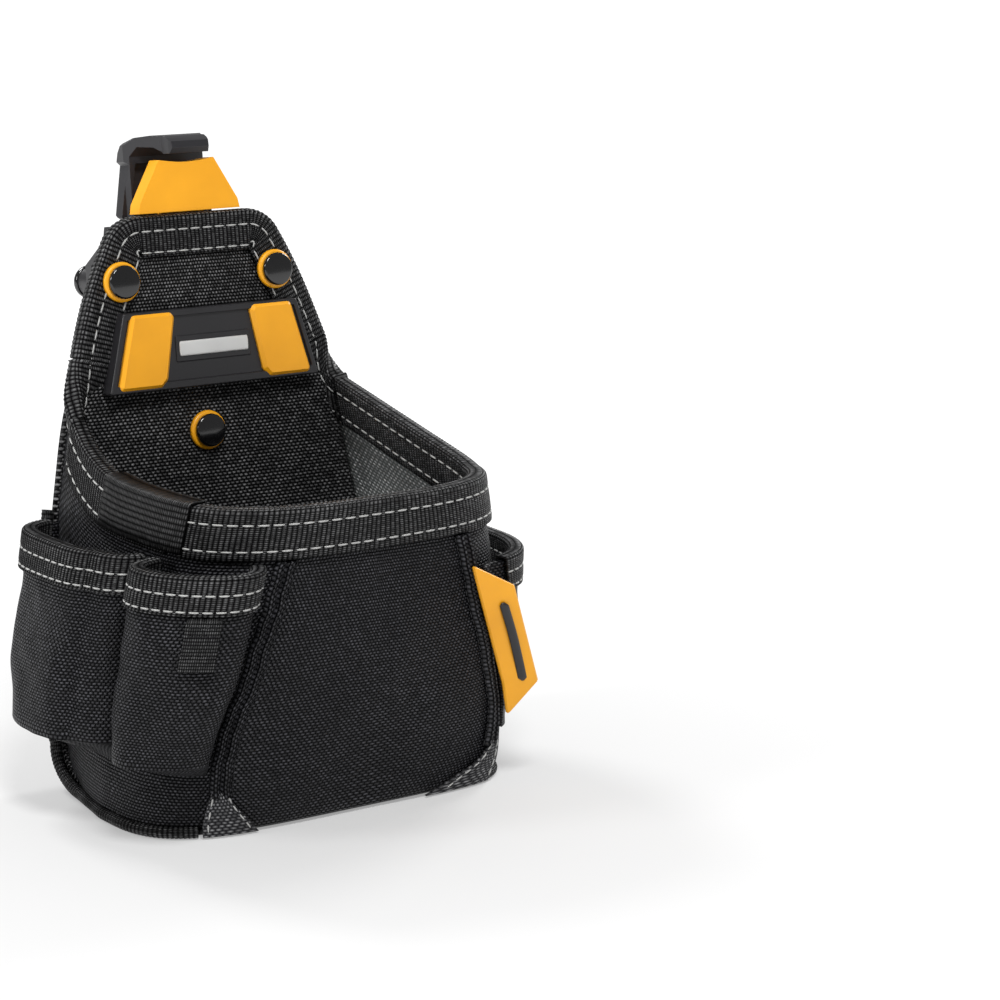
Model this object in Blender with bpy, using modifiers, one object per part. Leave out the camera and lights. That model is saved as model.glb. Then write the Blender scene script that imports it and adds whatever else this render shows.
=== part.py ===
"""Tool pouch for an electrician: a sewn fabric pouch with side pockets, hung on a belt by a
quick-release receiver.

Frame: metres, +Z up, the front towards -Y, the origin on the floor at the centre of the flat base.
The numbers below are millimetres and are turned into metres where a shape is made.
The back panel leans back, so its hardware is placed in the panel's own frame: X across,
Y backwards through the panel from its front face, Z up along it from the lower rivet.
"""
import math

import bmesh
import bpy
from mathutils import Matrix, Vector

MM = 0.001
GAP = 0.35                      # clearance between neighbouring pieces

# ---- pouch body -------------------------------------------------------------------------
RIM_Z = 137.0                   # top edge of the front wall
SHOULDER_RISE = 26.5            # from there to the shoulders at the back
WALL = 3.0                      # body fabric with its lining
BACK_WALL = 4.0                 # stiffened back panel
LEAN = math.radians(6.0)        # the back panel leans back
LOWER_RIVET = (0.0, 60.0, 146.0)
UPRIGHT_TOP_Z = 95.0            # the back panel is upright below this
LEAN_RUN = 15.0                 # height over which its faces take up the lean
HEEL_HEIGHT = 19.0              # the back panel curls forward into the base
HEEL_REACH = 30.0               # over this much depth
# The sewn body isn't quite symmetric, so these run by side: -1 is the left, 1 the right.
# half width of the front panel at heights above the floor
SEAM_HALF = {-1: ((0, 56.0), (18, 59.5), (38, 59.5), (66, 53.0), (90, 47.0), (112, 41.5), (140, 33.0)),
             1: ((0, 66.0), (18, 73.0), (38, 72.5), (66, 63.0), (90, 53.5), (112, 46.5), (140, 38.0))}
SEAM_GAP = 0.8
SEAM_SHARE = 0.0036             # half the gap at the front seams, as a share of the way round
GUSSET_FOOT_Z = 5.9             # the gussets stand on the piping
HEEL_CLEARANCE = 3.2            # and stay inside it round the heel
LEVELS = (0.0, 0.05, 0.12, 0.22, 0.36, 0.5, 0.64, 0.76, 0.86, 0.93, 1.0)
PIPING_RADIUS = 2.6
PIPING_TOP_Z = 120.0
PIPING_INSET = 1.0

# half width of the body at heights above the floor
BODY_WIDTH = {-1: ((0, 88.0), (18, 85.0), (35, 81.0), (70, 80.5), (110, 76.5), (137, 71.5), (153, 68.0), (168, 63.5)),
              1: ((0, 87.0), (10, 88.5), (22, 88.0), (36, 85.0), (50, 82.5), (70, 81.0), (110, 76.0), (137, 71.5), (153, 69.0), (168, 66.0))}
# how much narrower the body is at its rear seams
REAR_TAPER = {-1: ((0, 5.0), (8, 9.0), (19, 9.0), (25, 5.0), (31, 1.0), (40, 0.0)), 1: ((0, 3.0), (19, 5.0), (38, 0.0))}
# half width of the back panel above the shoulders
NECK_WIDTH = {-1: ((150, 70.0), (173, 63.6), (190, 59.0), (207, 53.0), (222, 46.2), (230, 42.2)),
              1: ((150, 74.0), (173, 66.4), (190, 60.2), (207, 53.6), (222, 46.6), (230, 42.2))}
NECK_TOP_Z = 240.0
NECK_CORNER = 15.0
NECK_SLOPE = math.radians(25.0)     # the neck's sides come in by this where its corners start
FRONT_DEPTH = ((0, 50.0), (40, 54.0), (80, 57.0), (139, 57.0))      # of the rounded front
FRONT_CENTRE = ((0, 0.0), (139, -20.0))                             # where it starts, in Y
FRONT_ROUND = {-1: ((0, 3.5), (137, 3.0)), 1: ((0, 5.6), (50, 4.5), (137, 3.0))}    # superellipse power

# ---- tapes and trims --------------------------------------------------------------------
TAPE = 1.7
RIM_TAPE_LEG = 19.0
NECK_TAPE_LEG = 16.0
NECK_CORNER_LEG = 13.0          # the tape is narrower where it turns the neck's corners
POCKET_TAPE_LEG = 14.0
POCKET_WALL = 2.2
POCKET_GAP = 1.1                # between a pocket's edges and the body
FLOOR_GAP = 2.2                 # between its floor and the body
TAPED_STAND = 4.9               # the tape needs this much room behind the rim
POCKET_TAPE = 1.3
TAPE_GAP = 0.7                  # under a folded tape
LEFT_TAPE_END = -0.40           # stations round the body, see around()
OVERLAP_ENDS = (-0.72, -0.415)
RIGHT_TAPE_END = 0.47

# ---- hardware ---------------------------------------------------------------------------
TOP_RIVET_X = 38.0
TOP_RIVET_Z = 67.4
CAP_RADIUS = 7.2
CAP_HEIGHT = 2.9
WASHER_RADIUS = 8.6
POST_RADIUS = 2.5
REAR_FACE = 24.0                # back of the receiver, behind the panel's front face
BOARD_FRONT = BACK_WALL + GAP
BOARD_BACK = 6.0
PLATE_FRONT = 6.9               # receiver plate, clear of the neck tape
PLATE_BACK = 10.0
CHANNEL_FLOOR = 12.6
LIP_FRONT = 21.0
CHANNEL_HALF_FOOT = 33.0
CHANNEL_HALF_HEAD = 27.0
CHANNEL_HEAD_Z = 72.0
PLATE_FOOT_Z = -14.0
PIVOT_Y = 10.6
PIVOT_Z = 83.5
PIN_RADIUS = 1.5
WINDOW_HALF = 15.2
SPRING_RADIUS = 2.7
SPRING_WIRE = 0.3
SPRING_TURNS = 3.5
SPRING_SPAN = (11.7, 14.7)      # along the pin, beside the lever's barrel
REAR_CAP_THICK = 3.6
TAB_FOOT = 95.4
TAB_HEAD = 117.9
TAB_HALF_FOOT = 25.0
TAB_HALF_HEAD = 13.5
TAB_FACE = 0.9
TAB_BACK = 9.2
TOOTH_TIP = 16.0

# ---- badge ------------------------------------------------------------------------------
BADGE_X = 2.0
BADGE_FOOT = 20.0
BADGE_HEAD = 54.0
BADGE_HALF_FOOT = 52.0
BADGE_HALF_HEAD = 43.0
BADGE_FACE = 7.6
WING_FOOT = 21.0
WING_HEAD = 53.2
WING_FACE = 9.8
WING_BACK = 5.5
INLAY_HALF = 18.5

# ---- pocket trims -----------------------------------------------------------------------
LOOP_SHARE = 0.68
LOOP_FOOT_Z = 80.5
LOOP_WIDTH = 14.5
LOOP_HEIGHT = 20.0
LOOP_THICK = 2.6
# height, and how far a corner patch reaches ahead of its seam and behind it
PATCH_REACH = {-1: ((0.5, 0.062, 0.05), (6, 0.05, 0.048), (12, 0.034, 0.036), (19.5, 0.016, 0.022)),
               1: ((0.5, 0.122, 0.05), (6, 0.095, 0.048), (12, 0.046, 0.038), (19.5, 0.014, 0.022))}
TAG_FOOT_Z = 32.0
TAG_HEAD_Z = 103.5
TAG_STAND = 4.7                 # off the seam, clear of the pocket's tape
TAG_TURN = math.radians(-12.0)  # its face turns towards the left of the front
TAG_SLANT = (1.5, -2.5)         # how far along its face it starts, at foot and head
TAG_WIDTH = 16.5
TAG_THICK = 2.2


def along(knots, at):
    """Smooth value through (place, value) knots, with level slopes limited to the neighbours'."""
    if at <= knots[0][0]:
        return knots[0][1]
    for index in range(len(knots) - 1):
        (a, low), (b, high) = knots[index], knots[index + 1]
        if at <= b:
            slope = (high - low) / (b - a)
            before = knots[max(index - 1, 0)]
            after = knots[min(index + 2, len(knots) - 1)]
            start = (high - before[1]) / (b - before[0])
            end = (after[1] - low) / (after[0] - a)
            t = (at - a) / (b - a)
            return (low + (high - low) * t
                    + (b - a) * t * (1 - t) * ((1 - t) * (start - slope) - t * (end - slope)))
    return knots[-1][1]


# ---- shape of the body ------------------------------------------------------------------
def back_y(z):
    """Front face of the back panel, with the curl at its foot."""
    straight = LOWER_RIVET[1] + (max(z, UPRIGHT_TOP_Z) - LOWER_RIVET[2]) * math.tan(LEAN)
    if z >= HEEL_HEIGHT:
        return straight
    rise = min((HEEL_HEIGHT - z) / (HEEL_HEIGHT - BACK_WALL), 1)
    return straight - (HEEL_REACH - BACK_WALL) * (1 - math.sqrt(1 - rise ** 2))


def around(station, z, inset=0.0):
    """Point of the outer wall: station 0 is the front centre, -1 and 1 the rear seams."""
    side = int(math.copysign(1, station))
    half = along(BODY_WIDTH[side], z) - inset
    depth = along(FRONT_DEPTH, z) - inset
    centre = along(FRONT_CENTRE, z)
    power = 2 / along(FRONT_ROUND[side], z)
    if abs(station) <= 0.5:
        angle = abs(station) * math.pi
        x = half * math.sin(angle) ** power
        y = centre - depth * max(math.cos(angle), 0) ** power
    else:
        share = (abs(station) - 0.5) * 2
        x = half - along(REAR_TAPER[side], z) * share ** 1.6
        rear = back_y(z) - SEAM_GAP - HEEL_CLEARANCE * max(1 - z / HEEL_HEIGHT, 0)
        y = centre + (rear - centre) * share
    return Vector((side * x, y, z))


def outward(station, z):
    """Level normal of the wall, out of the body."""
    if abs(station) > 0.5:
        return Vector((math.copysign(1, station), 0, 0))
    step = 0.004
    run = around(station + step, z) - around(station - step, z)
    return Vector((run.y, -run.x, 0)).normalized()


def seam_station(z, side):
    """Station of the front panel's seam on one side, as a positive number."""
    share = along(SEAM_HALF[side], z) / along(BODY_WIDTH[side], z)
    return math.asin(share ** (along(FRONT_ROUND[side], z) / 2)) / math.pi


def edge_z(station):
    """Height of the wall's top edge: it climbs to the shoulders, sooner on the right."""
    y = around(station, RIM_Z).y
    if station < 0:
        return RIM_Z + SHOULDER_RISE * max((y + 20) / 80, 0) ** 3.2
    return RIM_Z + SHOULDER_RISE * max((y + 46) / 106, 0) ** 1.1


def panel_half(z, side):
    """Half width of the back panel itself, inside its tape."""
    if z <= 168:
        return along(BODY_WIDTH[side], z) - along(REAR_TAPER[side], z) + 0.6
    return along(NECK_WIDTH[side], z) - TAPE - TAPE_GAP


def grown(outline, margin):
    """A convex outline moved outwards by a margin on every side."""
    middle = Vector((sum(x for x, _ in outline), sum(y for _, y in outline))) / len(outline)
    lines = []
    for one, two in zip(outline, outline[1:] + outline[:1]):
        run = (Vector(two) - Vector(one)).normalized()
        normal = Vector((run.y, -run.x))
        if normal.dot(Vector(one) - middle) < 0:
            normal = -normal
        lines.append((normal, normal.dot(Vector(one)) + margin))
    corners = []
    for (n, c), (m, d) in zip(lines[-1:] + lines[:-1], lines):
        area = n.x * m.y - n.y * m.x
        corners.append(((c * m.y - d * n.y) / area, (d * n.x - c * m.x) / area))
    return corners


def heel_half(share, side):
    """Half width of the back panel round the heel: share 0 at the upright, 1 at the floor."""
    foot = along(BODY_WIDTH[side], 0) - along(REAR_TAPER[side], 0) - PIPING_INSET - PIPING_RADIUS - GAP
    return panel_half(HEEL_HEIGHT, side) * (1 - share) + foot * share


# ---- making solids ----------------------------------------------------------------------
def clear_scene():
    for item in list(bpy.data.objects):
        bpy.data.objects.remove(item, do_unlink=True)


def new_collection(name):
    collection = bpy.data.collections.new(name)
    bpy.context.scene.collection.children.link(collection)
    return collection


def paint(name, colour, roughness, metallic=0.0):
    material = bpy.data.materials.new(name)
    material.use_nodes = True
    shader = material.node_tree.nodes["Principled BSDF"]
    shader.inputs["Base Color"].default_value = (*colour, 1)
    shader.inputs["Roughness"].default_value = roughness
    shader.inputs["Metallic"].default_value = metallic
    material.diffuse_color = (*colour, 1)
    return material


def fabric(name):
    return paint(name, (0.012, 0.012, 0.014), 0.85)


def webbing(name):
    return paint(name, (0.018, 0.018, 0.02), 0.8)


def black_plastic(name):
    return paint(name, (0.035, 0.034, 0.038), 0.42)


def yellow_plastic(name):
    return paint(name, (0.93, 0.39, 0.02), 0.4)


def lacquered_steel(name):
    return paint(name, (0.008, 0.008, 0.01), 0.18, 0.3)


def steel(name):
    return paint(name, (0.42, 0.42, 0.43), 0.35, 1.0)


def place(name, data, look, parent=None, shift=(0, 0, 0), turn=None):
    """Link an object for data; shift is in millimetres in the parent's frame."""
    item = bpy.data.objects.new(name, data)
    parts.objects.link(item)
    item.parent = parent
    item.location = Vector(shift) * MM
    if turn:
        item.rotation_euler = turn
    data.materials.append(look(name))
    return item


def mesh_from(name, make):
    """A mesh filled by make(bm), in millimetres, scaled to metres."""
    bm = bmesh.new()
    make(bm)
    bmesh.ops.scale(bm, vec=(MM, MM, MM), verts=bm.verts)
    bmesh.ops.recalc_face_normals(bm, faces=bm.faces)
    mesh = bpy.data.meshes.new(name)
    bm.to_mesh(mesh)
    bm.free()
    return mesh


def sheet(name, rows, thickness, look):
    """A fabric sheet through rows of points, seen from outside left to right and bottom to top."""
    bm = bmesh.new()
    grid = [[bm.verts.new(Vector(point) * MM) for point in row] for row in rows]
    for low, high in zip(grid, grid[1:]):
        for column in range(len(low) - 1):
            bm.faces.new((low[column], low[column + 1], high[column + 1], high[column]))
    mesh = bpy.data.meshes.new(name)
    bm.to_mesh(mesh)
    bm.free()
    item = place(name, mesh, look)
    solid = item.modifiers.new("thickness", "SOLIDIFY")
    solid.thickness = thickness * MM
    solid.offset = -1
    solid.use_even_offset = True
    return item


def sweep(name, rings, look, parent=None):
    """A solid through equal rings of points, capped at both ends."""
    def make(bm):
        loops = [[bm.verts.new(point) for point in ring] for ring in rings]
        for one, two in zip(loops, loops[1:]):
            for index in range(len(one)):
                after = (index + 1) % len(one)
                bm.faces.new((one[index], one[after], two[after], two[index]))
        bm.faces.new(reversed(loops[0]))
        bm.faces.new(loops[-1])
    return place(name, mesh_from(name, make), look, parent)


def folded_tape(edge, out, up, wall, tape, leg, lift=0.0):
    """Section of a tape folded over a wall's edge; edge is the middle of the wall's top."""
    inner = wall / 2 + TAPE_GAP + lift
    outer = inner + tape
    section = ((-outer, -leg), (-outer, inner - wall / 2 + tape), (outer, inner - wall / 2 + tape),
               (outer, -leg), (inner, -leg), (inner, inner - wall / 2), (-inner, inner - wall / 2),
               (-inner, -leg))
    return [Vector(edge) + Vector(out) * a + Vector(up) * b for a, b in section]


def block(name, low, high, look, parent=None):
    """A box between two corners, given in the parent's frame, with its origin at its centre."""
    size = [b - a for a, b in zip(low, high)]
    centre = [(a + b) / 2 for a, b in zip(low, high)]

    def make(bm):
        bmesh.ops.create_cube(bm, size=1)
        bmesh.ops.scale(bm, vec=size, verts=bm.verts)
    return place(name, mesh_from(name, make), look, parent, centre)


def soften(item, width, segments=2, angle=40):
    bevel = item.modifiers.new("edges", "BEVEL")
    bevel.width = width * MM
    bevel.segments = segments
    bevel.limit_method = "ANGLE"
    bevel.angle_limit = math.radians(angle)
    return item


def prism(name, outline, low, high, look, parent=None, axis="Y"):
    """An outline in X and Z (axis Y), Y and Z (axis X) or X and Y (axis Z), from low to high."""
    curve = bpy.data.curves.new(name, "CURVE")
    curve.dimensions = "2D"
    curve.fill_mode = "BOTH"
    curve.extrude = (high - low) / 2 * MM
    spline = curve.splines.new("POLY")
    spline.points.add(len(outline) - 1)
    for point, (a, b) in zip(spline.points, outline):
        point.co = (a * MM, b * MM, 0, 1)
    spline.use_cyclic_u = True
    middle = (low + high) / 2
    drawn = place(name, curve, look)
    mesh = bpy.data.meshes.new_from_object(drawn.evaluated_get(bpy.context.evaluated_depsgraph_get()))
    bpy.data.objects.remove(drawn)
    bm = bmesh.new()
    bm.from_mesh(mesh)
    bmesh.ops.remove_doubles(bm, verts=bm.verts, dist=0.00001)
    turn = {"Y": Matrix.Rotation(math.radians(90), 4, "X"), "Z": Matrix.Identity(4),
            "X": Matrix(((0, 0, 1, 0), (1, 0, 0, 0), (0, 1, 0, 0), (0, 0, 0, 1)))}[axis]
    shift = {"X": (middle, 0, 0), "Y": (0, middle, 0), "Z": (0, 0, middle)}[axis]
    bmesh.ops.transform(bm, matrix=Matrix.Translation(Vector(shift) * MM) @ turn, verts=bm.verts)
    bmesh.ops.dissolve_limit(bm, angle_limit=math.radians(0.5), verts=bm.verts, edges=bm.edges)
    bmesh.ops.recalc_face_normals(bm, faces=bm.faces)
    bm.to_mesh(mesh)
    bm.free()
    mesh.materials.clear()
    return place(name, mesh, look, parent)


def turned(name, profile, look, parent=None, shift=(0, 0, 0), steps=32):
    """A turned piece about the panel's Y axis; profile is (radius, depth), from the back forwards."""
    bm = bmesh.new()
    verts = [bm.verts.new((radius * MM, 0, -depth * MM)) for radius, depth in profile]
    for one, two in zip(verts, verts[1:]):
        bm.edges.new((one, two))
    mesh = bpy.data.meshes.new(name)
    bm.to_mesh(mesh)
    bm.free()
    item = place(name, mesh, look, parent, shift, (math.radians(90), 0, 0))
    screw = item.modifiers.new("turn", "SCREW")
    screw.steps = steps
    screw.render_steps = steps
    screw.use_merge_vertices = True
    screw.merge_threshold = 0.00001
    return item


def tube(name, points, radius, look, parent=None, resolution=2):
    curve = bpy.data.curves.new(name, "CURVE")
    curve.dimensions = "3D"
    curve.bevel_depth = radius * MM
    curve.bevel_resolution = resolution
    curve.use_fill_caps = True
    spline = curve.splines.new("POLY")
    spline.points.add(len(points) - 1)
    for point, place_at in zip(spline.points, points):
        point.co = (*(Vector(place_at) * MM), 1)
    return place(name, curve, look, parent)


def cut(item, tool):
    """Take tool out of item with an exact Boolean, and keep the tool as a hidden cutter."""
    if tool.name in parts.objects:
        parts.objects.unlink(tool)
        cutters.objects.link(tool)
    tool.hide_render = True
    tool.display_type = "WIRE"
    boolean = item.modifiers.new("cut", "BOOLEAN")
    boolean.operation = "DIFFERENCE"
    boolean.object = tool
    return item


def join(item, other):
    """Unite other with item; other stays as a hidden guide."""
    cut(item, other)
    item.modifiers[-1].operation = "UNION"
    return item


# ---- the sewn pouch ---------------------------------------------------------------------
def panel_row(z, trim=0.0):
    """Both ends of a level row on the rear face, behind the front face's height z."""
    lean = LEAN * min(max((z - UPRIGHT_TOP_Z) / LEAN_RUN, 0), 1)
    y = back_y(z) + BACK_WALL * math.cos(lean)
    rear_z = z - BACK_WALL * math.sin(lean)
    return (panel_half(z, 1) - trim, y, rear_z), (trim - panel_half(z, -1), y, rear_z)


def corner_row(angle):
    """Row of the rounded top corners: NECK_SLOPE at the sides, a quarter turn at the top."""
    top = NECK_TOP_Z - TAPE - TAPE_GAP
    start = top - NECK_CORNER * (1 - math.sin(NECK_SLOPE))
    trim = NECK_CORNER * (math.cos(NECK_SLOPE) - math.cos(angle))
    right, left = panel_row(top - NECK_CORNER * (1 - math.sin(angle)))
    return (panel_half(start, 1) - trim, *right[1:]), (trim - panel_half(start, -1), *left[1:])


def back_panel():
    """Stiffened panel from the base, up the back, to the rounded top of the neck."""
    heel_y = back_y(HEEL_HEIGHT) + BACK_WALL
    rows = []
    for step in range(7):
        angle = math.pi / 2 * (1 - step / 7)
        y = heel_y - HEEL_REACH + HEEL_REACH * math.cos(angle)
        z = HEEL_HEIGHT - HEEL_HEIGHT * math.sin(angle)
        rows.append(((heel_half(1 - step / 7, 1), y, z), (-heel_half(1 - step / 7, -1), y, z)))
    heights = (40, 60, 80, 95, 102, 110, 122, 137, 150, 162, 168, 170, 176, 182, 190, 200, 207, 215, 222)
    for z in (HEEL_HEIGHT, *heights):
        rows.append(panel_row(z))
    for step in range(7):
        rows.append(corner_row(NECK_SLOPE + (math.pi / 2 - NECK_SLOPE) * step / 6))
    return sheet("back_panel", rows, BACK_WALL, fabric)


def front_panel():
    columns = [step / 9 for step in range(-9, 10)]
    rows = []
    for z in [0.4] + [GUSSET_FOOT_Z + (RIM_Z - GUSSET_FOOT_Z) * level for level in LEVELS]:
        edges = {side: seam_station(z, side) - SEAM_SHARE for side in (-1, 1)}
        rows.append([around(edges[-1 if column < 0 else 1] * column, z) for column in columns])
    sheet("front_panel", rows, WALL, fabric)


def gusset(name, side):
    """Side wall from the front seam to the back panel; its top edge climbs to the shoulder."""
    rows = []
    columns = 20
    for level in LEVELS:
        row = []
        for index in range(columns + 1):
            share = index / columns
            seam_z = GUSSET_FOOT_Z + (RIM_Z - GUSSET_FOOT_Z) * level
            start = seam_station(seam_z, side) + SEAM_SHARE
            station = start + (1 - start) * share
            z = GUSSET_FOOT_Z + (edge_z(side * station) - GUSSET_FOOT_Z) * level
            row.append(around(side * station, z))
        rows.append(row if side > 0 else row[::-1])
    sheet(name, rows, WALL, fabric)


def base_panel():
    """Flat base inside the walls and ahead of the heel."""
    inset = PIPING_INSET + PIPING_RADIUS + GAP
    rear = back_y(HEEL_HEIGHT) + BACK_WALL - HEEL_REACH - GAP
    edge = [around(step / 24, PIPING_RADIUS, inset) for step in range(-18, 19)]
    outline = [(-heel_half(1, -1), rear)] + [(point.x, point.y) for point in edge] + [(heel_half(1, 1), rear)]
    prism("base_panel", outline, 0, 3, fabric, axis="Z")


def seam_piping(name, side):
    """Piping down the rear seam, round the heel and along the foot of the gusset."""
    reach, height = HEEL_REACH - PIPING_RADIUS, HEEL_HEIGHT - PIPING_RADIUS
    centre_y = back_y(HEEL_HEIGHT) + BACK_WALL / 2 - reach
    points = []
    for z in (PIPING_TOP_Z, 110, 95, 80, 60, 40):
        x = panel_half(z, side) + GAP + PIPING_RADIUS
        points.append((side * x, back_y(z) + BACK_WALL / 2, z))
    for step in range(7):
        angle = math.pi / 2 * step / 6
        x = heel_half(step / 6, side) + GAP + PIPING_RADIUS
        points.append((side * x, centre_y + reach * math.cos(angle), HEEL_HEIGHT - height * math.sin(angle)))
    first = 0.5 + 0.5 * 0.36
    last = seam_station(PIPING_RADIUS, side) + 0.066
    count = 14
    for step in range(count + 1):
        station = first + (last - first) * step / count
        point = around(side * station, PIPING_RADIUS, PIPING_INSET)
        points.append((point.x, point.y, PIPING_RADIUS))
    tube(name, points, PIPING_RADIUS, webbing, resolution=1)


def front_seam(name, side):
    """Raised double seam between front panel and gusset, from under the rim tape to the patch."""
    rings = []
    for step in range(10):
        z = 21 + (RIM_Z - RIM_TAPE_LEG - GAP * 2 - 21) * step / 9
        station = side * seam_station(z, side)
        centre = around(station, z)
        out = outward(station, z)
        across = Vector((-out.y, out.x, 0))
        section = ((-3.6, 0.4), (-2.6, 2.3), (-0.9, 2.3), (0, 1.5), (0.9, 2.3), (2.6, 2.3), (3.6, 0.4))
        rings.append([centre + across * a + out * (b + 0.15) for a, b in section])
    sweep(name, rings, fabric)


def corner_patch(name, side):
    """Patch folded round the foot of the front seam."""
    rows = []
    for z, ahead, behind in PATCH_REACH[side]:
        middle = seam_station(z, side)
        stations = [middle - ahead * (1 - step / 5) for step in range(5)]
        stations += [middle + behind * step / 3 for step in range(4)]
        row = [around(side * station, z, -1.7) for station in stations]
        rows.append(row if side > 0 else row[::-1])
    sheet(name, rows, 1.2, lambda label: paint(label, (0.09, 0.09, 0.1), 0.8))


def tape_ring(outer, inner, tape):
    """Section of a tape over a wall's edge; outer and inner give (top, foot) of the wall's faces."""
    out = (outer[0] - inner[0]).normalized()
    up = Vector((0, 0, 1))
    near, far = out * TAPE_GAP, out * (TAPE_GAP + tape)
    return [outer[1] + far, outer[0] + far + up * (TAPE_GAP + tape), inner[0] - far + up * (TAPE_GAP + tape),
            inner[1] - far, inner[1] - near, inner[0] - near + up * TAPE_GAP,
            outer[0] + near + up * TAPE_GAP, outer[1] + near]


def edge_tape(name, first, last, leg, lift=0.0, count=18, tape=TAPE):
    """Tape folded over the body's top edge between two stations; lift leaves room for one below."""
    rings = []
    for step in range(count + 1):
        station = first + (last - first) * step / count
        z = edge_z(station)
        faces = []
        for inset in (-lift, WALL + lift):
            top = around(station, z, inset) + Vector((0, 0, lift))
            faces.append((top, around(station, z - leg, inset)))
        rings.append(tape_ring(*faces, tape))
    sweep(name, rings, webbing)


def neck_tape():
    """Tape folded over the edge of the back panel's neck, from shoulder to shoulder."""
    rows = [panel_row(z) for z in (175, 182, 190, 198, 207, 215, 222)]
    legs = [NECK_TAPE_LEG] * len(rows)
    for step in range(9):
        rows.append(corner_row(NECK_SLOPE + (math.pi / 2 - NECK_SLOPE) * step / 8))
        legs.append(NECK_TAPE_LEG - (NECK_TAPE_LEG - NECK_CORNER_LEG) * math.sin(math.pi * step / 8) ** 0.5)
    middle = Vector((0, -math.cos(LEAN), math.sin(LEAN))) * (BACK_WALL / 2)
    path = [Vector(row[0]) + middle for row in rows] + [Vector(row[1]) + middle for row in reversed(rows)]
    legs = legs + legs[::-1]
    back = Vector((0, math.cos(LEAN), -math.sin(LEAN)))
    rings = []
    for index, edge in enumerate(path):
        run = (path[min(index + 1, len(path) - 1)] - path[max(index - 1, 0)]).normalized()
        up = back.cross(run).normalized()
        rings.append(folded_tape(edge, back, up, BACK_WALL, TAPE, legs[index]))
    return sweep("neck_binding", rings, webbing)


# ---- pockets ----------------------------------------------------------------------------
class Pocket:
    """An open sack sewn to the body between two seams; share runs across it from 0 to 1."""

    def __init__(self, name, first, last, depth, fullness, rim, foot, drop):
        self.name, self.first, self.last = name, first, last
        self.depth, self.fullness = depth, fullness
        self.rim, self.foot, self.drop = rim, foot, drop
        columns = 18
        self.shares = [0.5 - 0.5 * math.cos(math.pi * step / columns) for step in range(columns + 1)]

    def station(self, share, z):
        return self.first(z) + (self.last(z) - self.first(z)) * share

    def wall(self, share, z):
        """Where the pocket's place across meets the body wall."""
        return around(self.station(share, z), z, -POCKET_GAP)

    def stand(self, share, z):
        """How far the outer face stands off the body."""
        power = self.fullness[0] if share < 0.5 else self.fullness[1]
        swell = (1 - abs(2 * share - 1) ** power) ** (1 / power)
        return max(along(self.depth, z) * swell, POCKET_WALL + GAP)

    def face(self, share, z):
        """Outer face of the pocket."""
        return self.wall(share, z) + outward(self.station(share, z), z) * self.stand(share, z)

    def out(self, share, z):
        """Level normal of the outer face."""
        run = self.face(min(share + 0.01, 1), z) - self.face(max(share - 0.01, 0), z)
        return Vector((run.y, -run.x, 0)).normalized()

    def sack(self):
        """Outer face from rim to foot, then a floor that slopes in to the wall."""
        rows = []
        for level in (1.0, 0.66, 0.33):
            z = self.foot - self.drop * level ** 1.5
            walls = [around(self.station(share, z), z, -FLOOR_GAP) for share in self.shares]
            outers = [self.face(share, self.foot) for share in self.shares]
            rows.append([Vector((wall.x + (outer.x - wall.x) * (1 - level),
                                 wall.y + (outer.y - wall.y) * (1 - level), z))
                         for wall, outer in zip(walls, outers)])
        for step in range(7):
            z = self.foot + (self.rim - self.foot) * step / 6
            rows.append([self.face(share, z) for share in self.shares])
        sheet(self.name, rows, POCKET_WALL, fabric)

    def binding(self):
        """Tape folded over the rim."""
        rings = []
        for share in self.shares:
            if self.stand(share, self.rim) < TAPED_STAND:
                continue
            faces = []
            for depth in (0, POCKET_WALL):
                top, foot = (self.face(share, z) - self.out(share, z) * depth
                             for z in (self.rim, self.rim - POCKET_TAPE_LEG))
                faces.append((top, foot))
            rings.append(tape_ring(*faces, POCKET_TAPE))
        sweep(self.name + "_binding", rings, webbing)


def beside_seam(z, side):
    """Station where a pocket starts beside a front seam."""
    return side * (seam_station(z, side) + 0.035)


def front_pocket_end(z):
    """Where the left front pocket ends: further from the seam towards its rim."""
    return beside_seam(z, -1) - along(((70, 0.0), (116, 0.025)), z)


LEFT_REAR_POCKET = Pocket("left_rear_pocket", lambda z: -0.955, lambda z: -0.457,
                          ((30, 30), (60, 29), (90, 26.5), (118, 25)), (3.2, 3.2), 116.5, 40, 13)
LEFT_FRONT_POCKET = Pocket("left_front_pocket", lambda z: -0.437, front_pocket_end,
                           ((30, 23), (60, 26), (118, 25.5)), (3.4, 3.4), 116, 37, 9)
RIGHT_POCKET = Pocket("right_pocket", lambda z: beside_seam(z, 1), lambda z: 0.955,
                      ((20, 8), (60, 15), (104, 20)), (1.2, 2.6), 102, 34, 10)


# ---- pocket trims -----------------------------------------------------------------------
def pocket_loop():
    """Webbing loop sewn flat to the face of the left front pocket, folded double."""
    out = LEFT_FRONT_POCKET.out(LOOP_SHARE, LOOP_FOOT_Z)
    across = Vector((-out.y, out.x, 0)) * (LOOP_WIDTH / 2)
    rings = []
    for height in (0, LOOP_HEIGHT):
        face = LEFT_FRONT_POCKET.face(LOOP_SHARE, LOOP_FOOT_Z + height)
        near, far = face + out * 0.9, face + out * (0.9 + LOOP_THICK)
        rings.append([near - across, near + across, far + across, far - across])
    sweep("pocket_loop", rings, webbing)


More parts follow.
